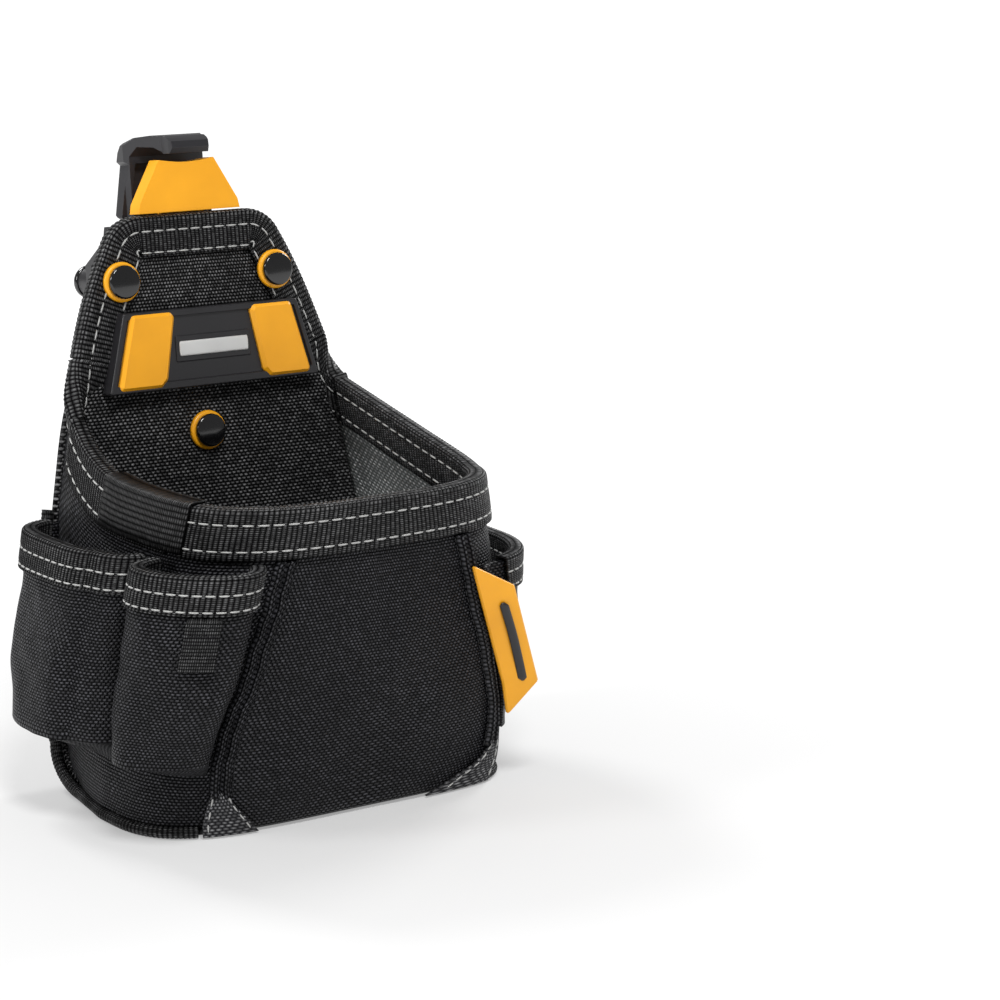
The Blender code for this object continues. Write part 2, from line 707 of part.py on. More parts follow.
def side_tag():
    """Moulded tag sewn into the right front seam, standing off over the pocket."""
    run = Vector((math.cos(TAG_TURN), math.sin(TAG_TURN), 0))
    out = Vector((run.y, -run.x, 0))
    rings = []
    for z, wide in ((TAG_FOOT_Z, 1.2), (TAG_FOOT_Z + 14, TAG_WIDTH), (TAG_HEAD_Z - 10, TAG_WIDTH),
                    (TAG_HEAD_Z, 1.2)):
        station = seam_station(z, 1)
        shift = along(((TAG_FOOT_Z, TAG_SLANT[0]), (TAG_HEAD_Z, TAG_SLANT[1])), z)
        start = around(station, z) + outward(station, z) * TAG_STAND + run * shift
        rings.append([start, start + run * wide, start + run * wide + out * TAG_THICK,
                      start + out * TAG_THICK])
    sweep("side_tag", rings, yellow_plastic)


# ---- badge ------------------------------------------------------------------------------
def badge_half(z, margin=0.0):
    """Half width of the badge at a height up the panel."""
    share = (z - BADGE_FOOT) / (BADGE_HEAD - BADGE_FOOT)
    return BADGE_HALF_FOOT + (BADGE_HALF_HEAD - BADGE_HALF_FOOT) * share - margin


def badge(frame):
    x = BADGE_X
    foot = badge_half(BADGE_FOOT)
    head = badge_half(BADGE_HEAD)
    plate = prism("badge_plate", ((x - foot, BADGE_FOOT), (x + foot, BADGE_FOOT),
                                  (x + head, BADGE_HEAD), (x - head, BADGE_HEAD)),
                  -BADGE_FACE, -2.5, black_plastic, frame)
    pad = block("badge_pad_guide", (x - 34, -2.6, BADGE_FOOT + 3), (x + 34, -GAP, BADGE_HEAD - 3),
                black_plastic, frame)
    join(plate, pad)
    for side in (-1, 1):
        outer = [(x + side * badge_half(z, 3.6), z) for z in (WING_FOOT, WING_HEAD)]
        inner = ((x + side * 20.4, WING_HEAD), (x + side * 18.8, WING_HEAD - 2.4),
                 (x + side * 23.8, WING_FOOT + 3.4), (x + side * 27.0, WING_FOOT))
        outline = (outer[0], outer[1], *inner)
        seat = prism(f"wing_seat_{side}", grown(outline, GAP), -BADGE_FACE - 1, -WING_BACK,
                     black_plastic, frame)
        cut(plate, seat)
        name = "badge_wing_left" if side < 0 else "badge_wing_right"
        wing = prism(name, outline, -WING_FACE, -WING_BACK - GAP, yellow_plastic, frame)
        soften(wing, 1.0, 1, 60)
    low, high = (x - INLAY_HALF, 31.2), (x + INLAY_HALF, 42.6)
    cut(plate, block("inlay_seat", (low[0] - GAP, -BADGE_FACE - 1, low[1] - GAP),
                     (high[0] + GAP, -BADGE_FACE + 1.4, high[1] + GAP), black_plastic, frame))
    block("badge_inlay", (low[0], -BADGE_FACE - 0.4, low[1]), (high[0], -BADGE_FACE + 1.1, high[1]),
          lambda label: paint(label, (0.8, 0.8, 0.8), 0.4), frame)


# ---- rivets -----------------------------------------------------------------------------
def rivet(frame, name, x, z, seat, rear):
    """Domed cap with its post, washer and rear cap; seat is the face under the washer."""
    shift = (x, 0, z)
    washer_front = seat - GAP - 1.9
    cap_back = washer_front - GAP
    turned("rivet_washer_" + name, ((POST_RADIUS + GAP, washer_front), (WASHER_RADIUS - 0.7, washer_front),
                                    (WASHER_RADIUS, washer_front + 0.9), (WASHER_RADIUS, seat - GAP),
                                    (POST_RADIUS + GAP, seat - GAP), (POST_RADIUS + GAP, washer_front)),
           yellow_plastic, frame, shift)
    front = cap_back - CAP_HEIGHT
    turned("rivet_cap_" + name, ((0, front), (CAP_RADIUS * 0.6, front + 0.15), (CAP_RADIUS * 0.88, front + 0.5),
                                 (CAP_RADIUS, front + 1.3), (CAP_RADIUS, cap_back),
                                 (POST_RADIUS, cap_back), (POST_RADIUS, rear + 1.2), (0, rear + 1.2)),
           lacquered_steel, frame, shift)
    thick = REAR_CAP_THICK if rear > PLATE_BACK + 3 else 2.1
    turned("rivet_rear_cap_" + name, ((POST_RADIUS + GAP, rear), (CAP_RADIUS, rear),
                                      (CAP_RADIUS, rear + thick * 0.5), (CAP_RADIUS * 0.7, rear + thick),
                                      (0, rear + thick), (0, rear + 1.2 + GAP),
                                      (POST_RADIUS + GAP, rear + 1.2 + GAP), (POST_RADIUS + GAP, rear)),
           lacquered_steel, frame, shift)


def rivet_holes(frame, items):
    """Clear the posts through every layer they join."""
    for number, (x, z) in enumerate(((-TOP_RIVET_X, TOP_RIVET_Z), (TOP_RIVET_X, TOP_RIVET_Z), (0, 0))):
        profile = ((0, -12), (POST_RADIUS + GAP, -12), (POST_RADIUS + GAP, 40), (0, 40))
        drill = turned(f"post_drill_{number}", profile, steel, frame, (x, 0, z), 16)
        for item, numbers in items:
            if number in numbers:
                cut(item, drill)


# ---- receiver, hook and release ---------------------------------------------------------
def receiver(frame):
    """Moulding behind the panel: a tapered channel, open below, that a belt hub slides up into."""
    foot, head = PLATE_FOOT_Z, CHANNEL_HEAD_Z
    plate = prism("receiver_housing", ((-40, foot), (40, foot), (46.5, 54), (46.5, 75), (31, 91),
                                       (-31, 91), (-46.5, 75), (-46.5, 54)),
                  PLATE_FRONT, CHANNEL_FLOOR, black_plastic, frame)
    wall_foot, wall_head = CHANNEL_HALF_FOOT + 5.5, CHANNEL_HALF_HEAD + 6
    join(plate, prism("channel_wall_guide", ((-wall_foot, foot), (wall_foot, foot), (wall_head, head + 2),
                                             (30, 90.5), (-30, 90.5), (-wall_head, head + 2)),
                      CHANNEL_FLOOR - 0.5, REAR_FACE, black_plastic, frame))
    for side in (-1, 1):
        join(plate, turned(f"rivet_boss_guide_{side}", ((0, CHANNEL_FLOOR - 0.5), (6.6, CHANNEL_FLOOR - 0.5),
                                                        (6.6, REAR_FACE), (0, REAR_FACE)),
                           black_plastic, frame, (side * TOP_RIVET_X, 0, TOP_RIVET_Z), 24))
    cut(plate, prism("channel_cutter", ((-CHANNEL_HALF_FOOT, foot - 2), (CHANNEL_HALF_FOOT, foot - 2),
                                        (CHANNEL_HALF_HEAD, head), (-CHANNEL_HALF_HEAD, head)),
                     CHANNEL_FLOOR, LIP_FRONT, black_plastic, frame))
    cut(plate, prism("channel_slot_cutter", ((6 - CHANNEL_HALF_FOOT, foot - 3), (CHANNEL_HALF_FOOT - 6, foot - 3),
                                             (CHANNEL_HALF_HEAD - 6, head - 6), (6 - CHANNEL_HALF_HEAD, head - 6)),
                     LIP_FRONT - 1, REAR_FACE + 2, black_plastic, frame))
    cut(plate, block("lever_window", (-WINDOW_HALF, PLATE_FRONT - 2, 52), (WINDOW_HALF, 15.0, 96),
                     black_plastic, frame))
    cut(plate, block("hook_socket", (-21 - GAP, 17.3 - GAP, 77 - GAP), (21 + GAP, 21.3 + GAP, 96),
                     black_plastic, frame))
    bore = turned("pin_bore", ((0, -50), (PIN_RADIUS + GAP, -50), (PIN_RADIUS + GAP, 19.5), (0, 19.5)),
                  steel, frame, (0, PIVOT_Y, PIVOT_Z), 16)
    bore.rotation_euler = (0, math.radians(-90), 0)
    cut(plate, bore)
    cut(plate, turned("rear_cap_recess", ((0, CHANNEL_FLOOR - 2.8), (CAP_RADIUS + 0.8, CHANNEL_FLOOR - 2.8),
                                          (CAP_RADIUS + 0.8, CHANNEL_FLOOR + 1), (0, CHANNEL_FLOOR + 1)),
                      black_plastic, frame, steps=24))
    return plate


def lift_hook(frame):
    """Grip hook: side outline, narrowed by its front and top outlines."""
    side = ((21.3, 77), (21.3, 92), (27, 95), (27.5, 118), (26, 122), (22.5, 126), (17, 128),
            (9, 128.6), (1, 127.8), (-3.2, 125.6), (-3.8, 122.8), (-2, 120.4), (3, 120.4), (8, 123.4),
            (15, 124), (18.5, 120), (18.5, 96), (17.3, 92.5), (17.3, 77))
    hook = prism("lift_hook", side, -30, 30, black_plastic, frame, "X")
    front = ((-21, 76), (21, 76), (21, 92), (22.5, 94), (18.2, 116.5), (19.8, 118), (19.8, 125),
             (16, 128.5), (9, 132), (-9, 132), (-16, 128.5), (-19.8, 125), (-19.8, 118),
             (-18.2, 116.5), (-22.5, 94), (-21, 92))
    cut(hook, prism("hook_front_guide", front, -40, 40, black_plastic, frame))
    hook.modifiers[-1].operation = "INTERSECT"
    plan = ((-40, 35), (-40, 21), (-19.8, 21), (-9.8, 4.5), (-9.8, -1.2), (-7.2, -10), (7.2, -10),
            (9.8, -1.2), (9.8, 4.5), (19.8, 21), (40, 21), (40, 35))
    cut(hook, prism("hook_plan_guide", plan, 60, 150, black_plastic, frame, "Z"))
    hook.modifiers[-1].operation = "INTERSECT"
    cut(hook, prism("hook_channel_cutter", ((-19.4, 95.5), (19.4, 95.5), (15.4, 117), (-15.4, 117)),
                    10, 22.8, black_plastic, frame))


def release_lever(frame):
    """Thumb tab with its arm, pivot barrel and latch tooth, about the pin."""
    pivot = bpy.data.objects.new("lever_axis", None)
    parts.objects.link(pivot)
    pivot.parent = frame
    pivot.location = Vector((0, PIVOT_Y, PIVOT_Z)) * MM
    foot, head = TAB_FOOT - PIVOT_Z, TAB_HEAD - PIVOT_Z
    dip = [(TAB_HALF_HEAD * (1 - step / 3), head - 1.4 * math.sin(math.pi * step / 6)) for step in range(7)]
    outline = [(-TAB_HALF_FOOT, foot), (TAB_HALF_FOOT, foot), (TAB_HALF_FOOT - 0.8, foot + 4)] + dip
    outline = outline + [(0.8 - TAB_HALF_FOOT, foot + 4)]
    lever = prism("release_lever", outline, TAB_FACE - PIVOT_Y, TAB_BACK - PIVOT_Y, yellow_plastic, pivot)
    join(lever, block("arm_guide", (-10.5, 7.4 - PIVOT_Y, -1), (10.5, 10.6 - PIVOT_Y, foot + 4),
                      yellow_plastic, pivot))
    join(lever, block("latch_arm_guide", (-10.5, 9.7 - PIVOT_Y, -26), (10.5, 12.3 - PIVOT_Y, 1),
                      yellow_plastic, pivot))
    barrel = turned("barrel_guide", ((0, -10.9), (3.2, -10.9), (3.2, 10.9), (0, 10.9)),
                    yellow_plastic, pivot, (0, 0, 0), 20)
    barrel.rotation_euler = (0, math.radians(-90), 0)
    join(lever, barrel)
    join(lever, prism("tooth_guide", ((1.0, -25.9), (1.8, -25.9), (TOOTH_TIP - PIVOT_Y, -21.5),
                                      (TOOTH_TIP - PIVOT_Y, -19.6), (1.0, -19.6)),
                      -9.5, 9.5, yellow_plastic, pivot, "X"))
    bore = turned("barrel_bore", ((0, -12), (PIN_RADIUS + GAP, -12), (PIN_RADIUS + GAP, 12), (0, 12)),
                  steel, pivot, (0, 0, 0), 16)
    bore.rotation_euler = (0, math.radians(-90), 0)
    cut(lever, bore)
    pin = turned("lever_pin", ((0, -18.8), (PIN_RADIUS, -18.8), (PIN_RADIUS, 18.8), (0, 18.8)),
                 steel, frame, (0, PIVOT_Y, PIVOT_Z), 16)
    pin.rotation_euler = (0, math.radians(-90), 0)


def lever_spring(frame):
    """Torsion spring round the pin, beside the barrel; it pushes the tab forward."""
    start, end = SPRING_SPAN
    points = [(start, PIVOT_Y + SPRING_RADIUS, PIVOT_Z - 7)]
    steps = 12
    for step in range(int(SPRING_TURNS * steps) + 1):
        angle = 2 * math.pi * step / steps
        x = start + (end - start) * step / (SPRING_TURNS * steps)
        points.append((x, PIVOT_Y + SPRING_RADIUS * math.cos(angle), PIVOT_Z + SPRING_RADIUS * math.sin(angle)))
    points.append((end, PIVOT_Y - SPRING_RADIUS, PIVOT_Z + 7))
    tube("lever_spring", points, SPRING_WIRE, steel, frame)


clear_scene()
parts = new_collection("electrician_tool_pouch")
cutters = new_collection("cutters")
panel = back_panel()
front_panel()
gusset("left_gusset", -1)
gusset("right_gusset", 1)
base_panel()
seam_piping("left_seam_piping", -1)
seam_piping("right_seam_piping", 1)
front_seam("left_front_seam", -1)
front_seam("right_front_seam", 1)
corner_patch("left_corner_patch", -1)
corner_patch("right_corner_patch", 1)
neck = neck_tape()
edge_tape("left_side_binding", -0.975, LEFT_TAPE_END, RIM_TAPE_LEG)
edge_tape("rim_overlap_tape", *OVERLAP_ENDS, RIM_TAPE_LEG + 0.5, TAPE_GAP + TAPE, 10, 1.0)
edge_tape("rim_band", LEFT_TAPE_END + 0.004, RIGHT_TAPE_END - 0.004, RIM_TAPE_LEG, count=36)
edge_tape("right_side_binding", RIGHT_TAPE_END, 0.975, RIM_TAPE_LEG)
for one in (LEFT_REAR_POCKET, LEFT_FRONT_POCKET, RIGHT_POCKET):
    one.sack()
    one.binding()
pocket_loop()
side_tag()

panel_frame = bpy.data.objects.new("panel_frame", None)
parts.objects.link(panel_frame)
panel_frame.location = Vector(LOWER_RIVET) * MM
panel_frame.rotation_euler = (-LEAN, 0, 0)
badge(panel_frame)
housing = receiver(panel_frame)
board = prism("backing_board", ((-50, -32), (50, -32), (50, 6), (43, 24), (29, 68), (24, 72),
                                (-24, 72), (-29, 68), (-43, 24), (-50, 6)),
              BOARD_FRONT, BOARD_BACK, black_plastic, panel_frame)
cut(board, block("board_window", (-12, 3, 50), (12, 8, 80), black_plastic, panel_frame))
lift_hook(panel_frame)
release_lever(panel_frame)
lever_spring(panel_frame)
tape_face = -(TAPE_GAP + TAPE)
rivet(panel_frame, "left", -TOP_RIVET_X, TOP_RIVET_Z, tape_face, REAR_FACE + GAP)
rivet(panel_frame, "right", TOP_RIVET_X, TOP_RIVET_Z, tape_face, REAR_FACE + GAP)
rivet(panel_frame, "lower", 0, 0, 0, CHANNEL_FLOOR - 2.45)
rivet_holes(panel_frame, ((panel, (0, 1, 2)), (neck, (0, 1)), (housing, (0, 1, 2)), (board, (2,))))
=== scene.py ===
"""Looks of the electrician's tool pouch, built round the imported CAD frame.

Shapes are worked out in millimetres in the row frame (front towards -Y, floor at Z 0) and turned
into metres where a mesh is made. The panel frame used for hardware is X across, Y backwards
through the leaning back panel, Z up along it from the lower rivet.
"""

import math

import bmesh
import bpy
from mathutils import Matrix, Vector, noise


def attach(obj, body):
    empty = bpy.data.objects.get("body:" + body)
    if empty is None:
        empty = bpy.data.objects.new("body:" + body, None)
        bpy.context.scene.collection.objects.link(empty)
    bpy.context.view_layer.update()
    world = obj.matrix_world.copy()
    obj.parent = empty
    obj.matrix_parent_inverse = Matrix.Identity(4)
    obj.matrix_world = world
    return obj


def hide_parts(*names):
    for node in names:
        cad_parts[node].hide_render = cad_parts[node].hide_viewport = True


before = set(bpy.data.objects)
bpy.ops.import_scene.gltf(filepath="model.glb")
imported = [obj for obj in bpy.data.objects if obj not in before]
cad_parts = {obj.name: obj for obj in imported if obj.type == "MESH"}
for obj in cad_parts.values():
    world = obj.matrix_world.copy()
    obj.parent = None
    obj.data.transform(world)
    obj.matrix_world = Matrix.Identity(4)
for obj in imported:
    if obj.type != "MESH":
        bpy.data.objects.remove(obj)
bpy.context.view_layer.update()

MM = 0.001
VIEW_PITCH, VIEW_TURN = math.radians(11.9), math.radians(-35.5)
VIEW_DISTANCE, VIEW_RIGHT, VIEW_DROP = 1304.35, 123.9, 29.57
POUCH = "pouch"
LEVER = "release_lever"

# ---- the CAD's driving dimensions ----
RIM_Z = 137.0
SHOULDER_RISE = 26.5
WALL = 3.0
BACK_WALL = 4.0
LEAN = math.radians(6.0)
LOWER_RIVET = (0.0, 60.0, 146.0)
UPRIGHT_TOP_Z = 95.0
LEAN_RUN = 15.0
PATCH_REACH = {-1: ((0.5, 0.062, 0.05), (6, 0.05, 0.048), (12, 0.034, 0.036), (19.5, 0.016, 0.022)),
               1: ((0.5, 0.122, 0.05), (6, 0.095, 0.048), (12, 0.046, 0.038), (19.5, 0.014, 0.022))}
TAG_STAND = 4.7
TAG_TURN = math.radians(-12.0)
TAG_WIDTH = 16.5
TAG_THICK = 2.2
TAG_BAR = (47.0, 86.0)
BADGE_X = 2.0
BADGE_FOOT = 20.0
BADGE_HEAD = 54.0
BADGE_HALF_FOOT = 52.0
BADGE_HALF_HEAD = 43.0
BADGE_FACE = 7.6
HEEL_HEIGHT = 19.0
HEEL_REACH = 30.0
FRONT_FOOT_Z = 0.35
FOOT_ROUND = 3.2
SEAM_HALF = {-1: ((0, 56.0), (18, 59.5), (38, 59.5), (66, 53.0), (90, 47.0), (112, 41.5), (140, 33.0)),
             1: ((0, 66.0), (18, 73.0), (38, 72.5), (66, 63.0), (90, 53.5), (112, 46.5), (140, 38.0))}
SEAM_GAP = 0.8
SEAM_SHARE = 0.0036
GUSSET_FOOT_Z = 5.9
HEEL_CLEARANCE = 3.2
PIPING_RADIUS = 2.6
PIPING_TOP_Z = 120.0
PIPING_INSET = 1.0
PIPING_GAP = 0.35
NECK_FOOT_Z = 168
BODY_WIDTH = {-1: ((0, 88.0), (18, 85.0), (35, 81.0), (70, 80.5), (110, 76.5), (137, 71.5), (153, 68.0),
                   (168, 63.5)),
              1: ((0, 87.0), (10, 88.5), (22, 88.0), (36, 85.0), (50, 82.5), (70, 81.0), (110, 76.0),
                  (137, 71.5), (153, 69.0), (168, 66.0))}
REAR_TAPER = {-1: ((0, 5.0), (8, 9.0), (19, 9.0), (25, 5.0), (31, 1.0), (40, 0.0)),
              1: ((0, 3.0), (19, 5.0), (38, 0.0))}
NECK_WIDTH = {-1: ((150, 70.0), (173, 63.6), (190, 59.0), (207, 53.0), (222, 46.2), (230, 42.2)),
              1: ((150, 74.0), (173, 66.4), (190, 60.2), (207, 53.6), (222, 46.6), (230, 42.2))}
NECK_TOP_Z = 240.0
NECK_CORNER = 15.0
NECK_SLOPE = math.radians(25.0)
FRONT_DEPTH = ((0, 50.0), (40, 54.0), (80, 57.0), (139, 57.0))
FRONT_CENTRE = ((0, 0.0), (139, -20.0))
FRONT_ROUND = {-1: ((0, 3.5), (137, 3.0)), 1: ((0, 5.6), (50, 4.5), (137, 3.0))}
TAPE = 1.7
RIM_TAPE_LEG = 19.0
NECK_TAPE_LEG = 16.0
NECK_CORNER_LEG = 13.0
POCKET_TAPE_LEG = 14.0
POCKET_WALL = 2.2
POCKET_GAP = 1.1
FLOOR_GAP = 2.2
TAPED_STAND = 4.9
POCKET_TAPE = 1.3
TAPE_GAP = 0.7
ROW_TO_HEM = 1.7
OVERLAP_ENDS = (-0.72, -0.385)
RIM_BAND_ENDS = (-0.396, 0.466)
RIGHT_TAPE_ENDS = (0.462, 0.955)
LEFT_TAPE_ENDS = (-0.955, -0.44)
RIM_ROWS = (4.2, 15.2)
POCKET_ROWS = (5.4, 12.4)
POCKET_THREADS = (5.4, 12.2)
TOP_RIVET_X = 38.0
TOP_RIVET_Z = 67.4
CAP_RADIUS = 7.2
WASHER_RADIUS = 8.6
LOOP_SHARE = 0.68
LOOP_FOOT_Z = 80.5
LOOP_WIDTH = 14.5
LOOP_HEIGHT = 20.0
LOOP_THICK = 2.6
LOOP_STAND = 0.9
SIDE_NAME = {-1: "left", 1: "right"}


# ---- camera and light ----
def linked(name, data):
    item = bpy.data.objects.new(name, data)
    bpy.context.scene.collection.objects.link(item)
    return item


def make_camera():
    level = math.cos(VIEW_PITCH)
    forward = Vector((-math.sin(VIEW_TURN) * level, math.cos(VIEW_TURN) * level, -math.sin(VIEW_PITCH)))
    right = Vector((math.cos(VIEW_TURN), math.sin(VIEW_TURN), 0))
    up = right.cross(forward)
    place = Vector((0, 53, 146)) - forward * VIEW_DISTANCE + right * VIEW_RIGHT - up * VIEW_DROP
    data = bpy.data.cameras.new("camera")
    data.lens = 108
    data.sensor_width = 36
    data.clip_start = 0.05
    data.clip_end = 20
    camera = linked("camera", data)
    turn = Matrix((right, up, -forward)).transposed().to_4x4()
    camera.matrix_world = Matrix.Translation(place * MM) @ turn
    bpy.context.scene.camera = camera


def area_light(name, place, aim, size, power):
    data = bpy.data.lights.new(name, "AREA")
    data.energy = power
    data.shape = "DISK"
    data.size = size
    light = linked(name, data)
    light.location = place
    light.rotation_euler = (Vector(aim) - Vector(place)).to_track_quat("-Z", "Y").to_euler()


def make_stage():
    world = bpy.data.worlds.new("studio")
    bpy.context.scene.world = world
    world.use_nodes = True
    tree = world.node_tree
    sky = tree.nodes["Background"]
    sky.inputs["Color"].default_value = (1, 1, 1, 1)
    seen = tree.nodes.new("ShaderNodeLightPath").outputs["Is Camera Ray"]
    tree.links.new(maths(tree, "MULTIPLY_ADD", seen, 0.7, 0.3), sky.inputs["Strength"])
    bpy.context.scene.view_settings.view_transform = "Standard"
    mesh = bpy.data.meshes.new("floor")
    corners = ((-20, -20), (20, -20), (20, 40), (-20, 40))
    mesh.from_pydata([(x, y, -0.0004) for x, y in corners], [], [(0, 1, 2, 3)])
    floor = linked("floor", mesh)
    look, shader, tree = new_look("floor_paper", (0.5, 0.5, 0.5), 0.9)
    shader.inputs["Specular IOR Level"].default_value = 0.0
    shader.inputs["Emission Color"].default_value = (1, 1, 1, 1)
    # The floor glows as painted light: weakest under the pouch and stronger with distance from it, up to a cap on the
    # far floor.
    reach = tree.nodes.new("ShaderNodeVectorMath")
    reach.operation = "LENGTH"
    tree.links.new(tree.nodes.new("ShaderNodeTexCoord").outputs["Object"], reach.inputs[0])
    glow = maths(tree, "MINIMUM", maths(tree, "MULTIPLY_ADD", reach.outputs["Value"], 0.38, 0.3), 0.95)
    tree.links.new(glow, shader.inputs["Emission Strength"])
    mesh.materials.append(look)
    area_light("key", (-0.35, -0.85, 1.25), (0, 0, 0.14), 0.4, 13)
    area_light("left_rim", (-1.35, 0.15, 0.75), (0, 0, 0.14), 0.35, 7)
    area_light("right_rim", (1.1, 0.35, 0.8), (0, 0, 0.14), 0.5, 8)
    area_light("top_back", (-0.2, 0.9, 1.1), (0, 0, 0.2), 0.4, 7)


# ---- materials ----
def new_look(name, colour, roughness):
    look = bpy.data.materials.new(name)
    look.use_nodes = True
    shader = look.node_tree.nodes["Principled BSDF"]
    shader.inputs["Base Color"].default_value = (*colour, 1)
    shader.inputs["Roughness"].default_value = roughness
    look.diffuse_color = (*colour, 1)
    return look, shader, look.node_tree


def maths(tree, operation, *values):
    node = tree.nodes.new("ShaderNodeMath")
    node.operation = operation
    for socket, value in zip(node.inputs, values):
        if isinstance(value, (int, float)):
            socket.default_value = value
        else:
            tree.links.new(value, socket)
    return node.outputs[0]


def ramp(tree, factor, stops):
    node = tree.nodes.new("ShaderNodeValToRGB")
    elements = node.color_ramp.elements
    while len(elements) < len(stops):
        elements.new(0.5)
    for element, (at, colour) in zip(elements, stops):
        element.position = at
        element.color = (*colour, 1)
    tree.links.new(factor, node.inputs["Fac"])
    return node.outputs["Color"]


def noise_of(tree, vector, scale, detail=2.0):
    node = tree.nodes.new("ShaderNodeTexNoise")
    node.inputs["Scale"].default_value = scale
    node.inputs["Detail"].default_value = detail
    tree.links.new(vector, node.inputs["Vector"])
    return node.outputs["Fac"]


def bump(tree, shader, height, distance, strength=1.0):
    node = tree.nodes.new("ShaderNodeBump")
    node.inputs["Distance"].default_value = distance
    node.inputs["Strength"].default_value = strength
    tree.links.new(height, node.inputs["Height"])
    tree.links.new(node.outputs["Normal"], shader.inputs["Normal"])


def woven(name, dark, light, pitch, depth, roughness=0.45, wander=0.3, glint=0.35, shift=0.5):
    """Plain weave on the cloth coordinates, in millimetres: pitch is (along, across).

    Every second row is shifted by a part of the pitch, which gives ballistic cloth its diagonal look.
    """
    look, shader, tree = new_look(name, light, roughness)
    source = tree.nodes.new("ShaderNodeUVMap")
    source.uv_map = "cloth"
    split = tree.nodes.new("ShaderNodeSeparateXYZ")
    tree.links.new(source.outputs["UV"], split.inputs[0])
    drift = noise_of(tree, source.outputs["UV"], 220.0)
    across = maths(tree, "DIVIDE", split.outputs[1], pitch[1] * MM)
    across = maths(tree, "ADD", across, maths(tree, "MULTIPLY", drift, wander))
    row = maths(tree, "FLOOR", across)
    along_it = maths(tree, "DIVIDE", split.outputs[0], pitch[0] * MM)
    sway = maths(tree, "MULTIPLY_ADD", row, shift, maths(tree, "MULTIPLY", drift, wander))
    along_it = maths(tree, "ADD", along_it, sway)
    waves = [maths(tree, "ABSOLUTE", maths(tree, "SINE", maths(tree, "MULTIPLY", turns, math.pi)))
             for turns in (along_it, across)]
    height = maths(tree, "MULTIPLY", maths(tree, "POWER", waves[0], 0.75), maths(tree, "POWER", waves[1], 0.75))
    cell = tree.nodes.new("ShaderNodeCombineXYZ")
    tree.links.new(maths(tree, "FLOOR", along_it), cell.inputs[0])
    tree.links.new(row, cell.inputs[1])
    chance = tree.nodes.new("ShaderNodeTexWhiteNoise")
    chance.noise_dimensions = "2D"
    tree.links.new(cell.outputs[0], chance.inputs["Vector"])
    broad = noise_of(tree, source.outputs["UV"], 28.0, 3.0)
    worn = maths(tree, "MULTIPLY_ADD", chance.outputs["Value"], 0.75, 0.35)
    # The colour is painted from thread height: painted glints on the thread crowns and painted shade in the gaps
    # between threads, varied at random per thread and over broad patches.
    painted_glint_and_tone = maths(tree, "MULTIPLY", maths(tree, "POWER", height, 2.2), worn)
    painted_glint_and_tone = maths(tree, "MULTIPLY", painted_glint_and_tone, maths(tree, "MULTIPLY_ADD", broad, 0.9, 0.5))
    middle = tuple(d + (h - d) * 0.22 for d, h in zip(dark, light))
    colour = ramp(tree, painted_glint_and_tone, ((0.0, dark), (0.4, middle), (1.0, light)))
    tree.links.new(colour, shader.inputs["Base Color"])
    tree.links.new(maths(tree, "MULTIPLY", height, glint), shader.inputs["Specular IOR Level"])
    bump(tree, shader, height, depth * MM)
    return look


def moulded(name, colour, roughness, grain=0.03, scale=900.0, coat=0.0):
    """Moulded plastic or lacquer: fine grain, faint mottling and a little scuffing."""
    look, shader, tree = new_look(name, colour, roughness)
    shader.inputs["Coat Weight"].default_value = coat
    shader.inputs["Coat Roughness"].default_value = 0.08
    place = tree.nodes.new("ShaderNodeTexCoord").outputs["Object"]
    fine = noise_of(tree, place, scale, 3.0)
    broad = noise_of(tree, place, 45.0, 4.0)
    dull, bright = (tuple(min(c * part, 1) for c in colour) for part in (0.93, 1.06))
    tone = ramp(tree, broad, ((0.3, dull), (0.7, bright)))
    tree.links.new(tone, shader.inputs["Base Color"])
    tree.links.new(maths(tree, "MULTIPLY_ADD", broad, 0.16, roughness - 0.08), shader.inputs["Roughness"])
    bump(tree, shader, fine, grain * MM, 0.8)
    return look


make_camera()
make_stage()
BACK_WEAVE = woven("back_weave", (0.0012, 0.0012, 0.0015), (0.26, 0.26, 0.265), (2.35, 1.5), 0.6, wander=0.35)
BODY_WEAVE = woven("body_weave", (0.0016, 0.0016, 0.0022), (0.075, 0.075, 0.086), (2.1, 1.35), 0.55, wander=0.45)
LINING = woven("lining_weave", (0.13, 0.14, 0.138), (1.0, 1.0, 1.0), (2.3, 1.5), 0.4)
RIBBED = woven("ribbed_webbing", (0.0012, 0.0012, 0.0014), (0.15, 0.15, 0.153), (2.0, 0.85), 0.3,
               shift=0.0, wander=0.22)
SMOOTH_TAPE = woven("smooth_tape", (0.0015, 0.0015, 0.0017), (0.07, 0.07, 0.072), (1.1, 2.4), 0.3,
                    shift=0.0, wander=0.15)
PATCH = woven("patch_weave", (0.014, 0.014, 0.016), (0.34, 0.34, 0.35), (2.2, 1.5), 0.4)
THREAD = woven("white_thread", (0.42, 0.42, 0.41), (0.8, 0.8, 0.78), (0.5, 0.5), 0.05)
DARK_THREAD = woven("dark_thread", (0.004, 0.004, 0.005), (0.09, 0.09, 0.095), (0.5, 0.5), 0.05)
LOOP_WEB = woven("loop_webbing", (0.0015, 0.0015, 0.0017), (0.13, 0.13, 0.133), (0.9, 1.55), 0.25,
                 shift=0.0, wander=0.1)
BLACK_PLASTIC = moulded("black_plastic", (0.016, 0.0155, 0.0175), 0.4, 0.02)
HOOK_PLASTIC = moulded("hook_plastic", (0.02, 0.0195, 0.0225), 0.34, 0.015)
YELLOW = moulded("yellow_plastic", (0.97, 0.415, 0.008), 0.38, 0.018)
PALE = moulded("pale_plastic", (0.62, 0.62, 0.61), 0.4, 0.01)
LACQUER = moulded("black_lacquer", (0.003, 0.003, 0.0035), 0.12, 0.002, 500.0, 0.5)
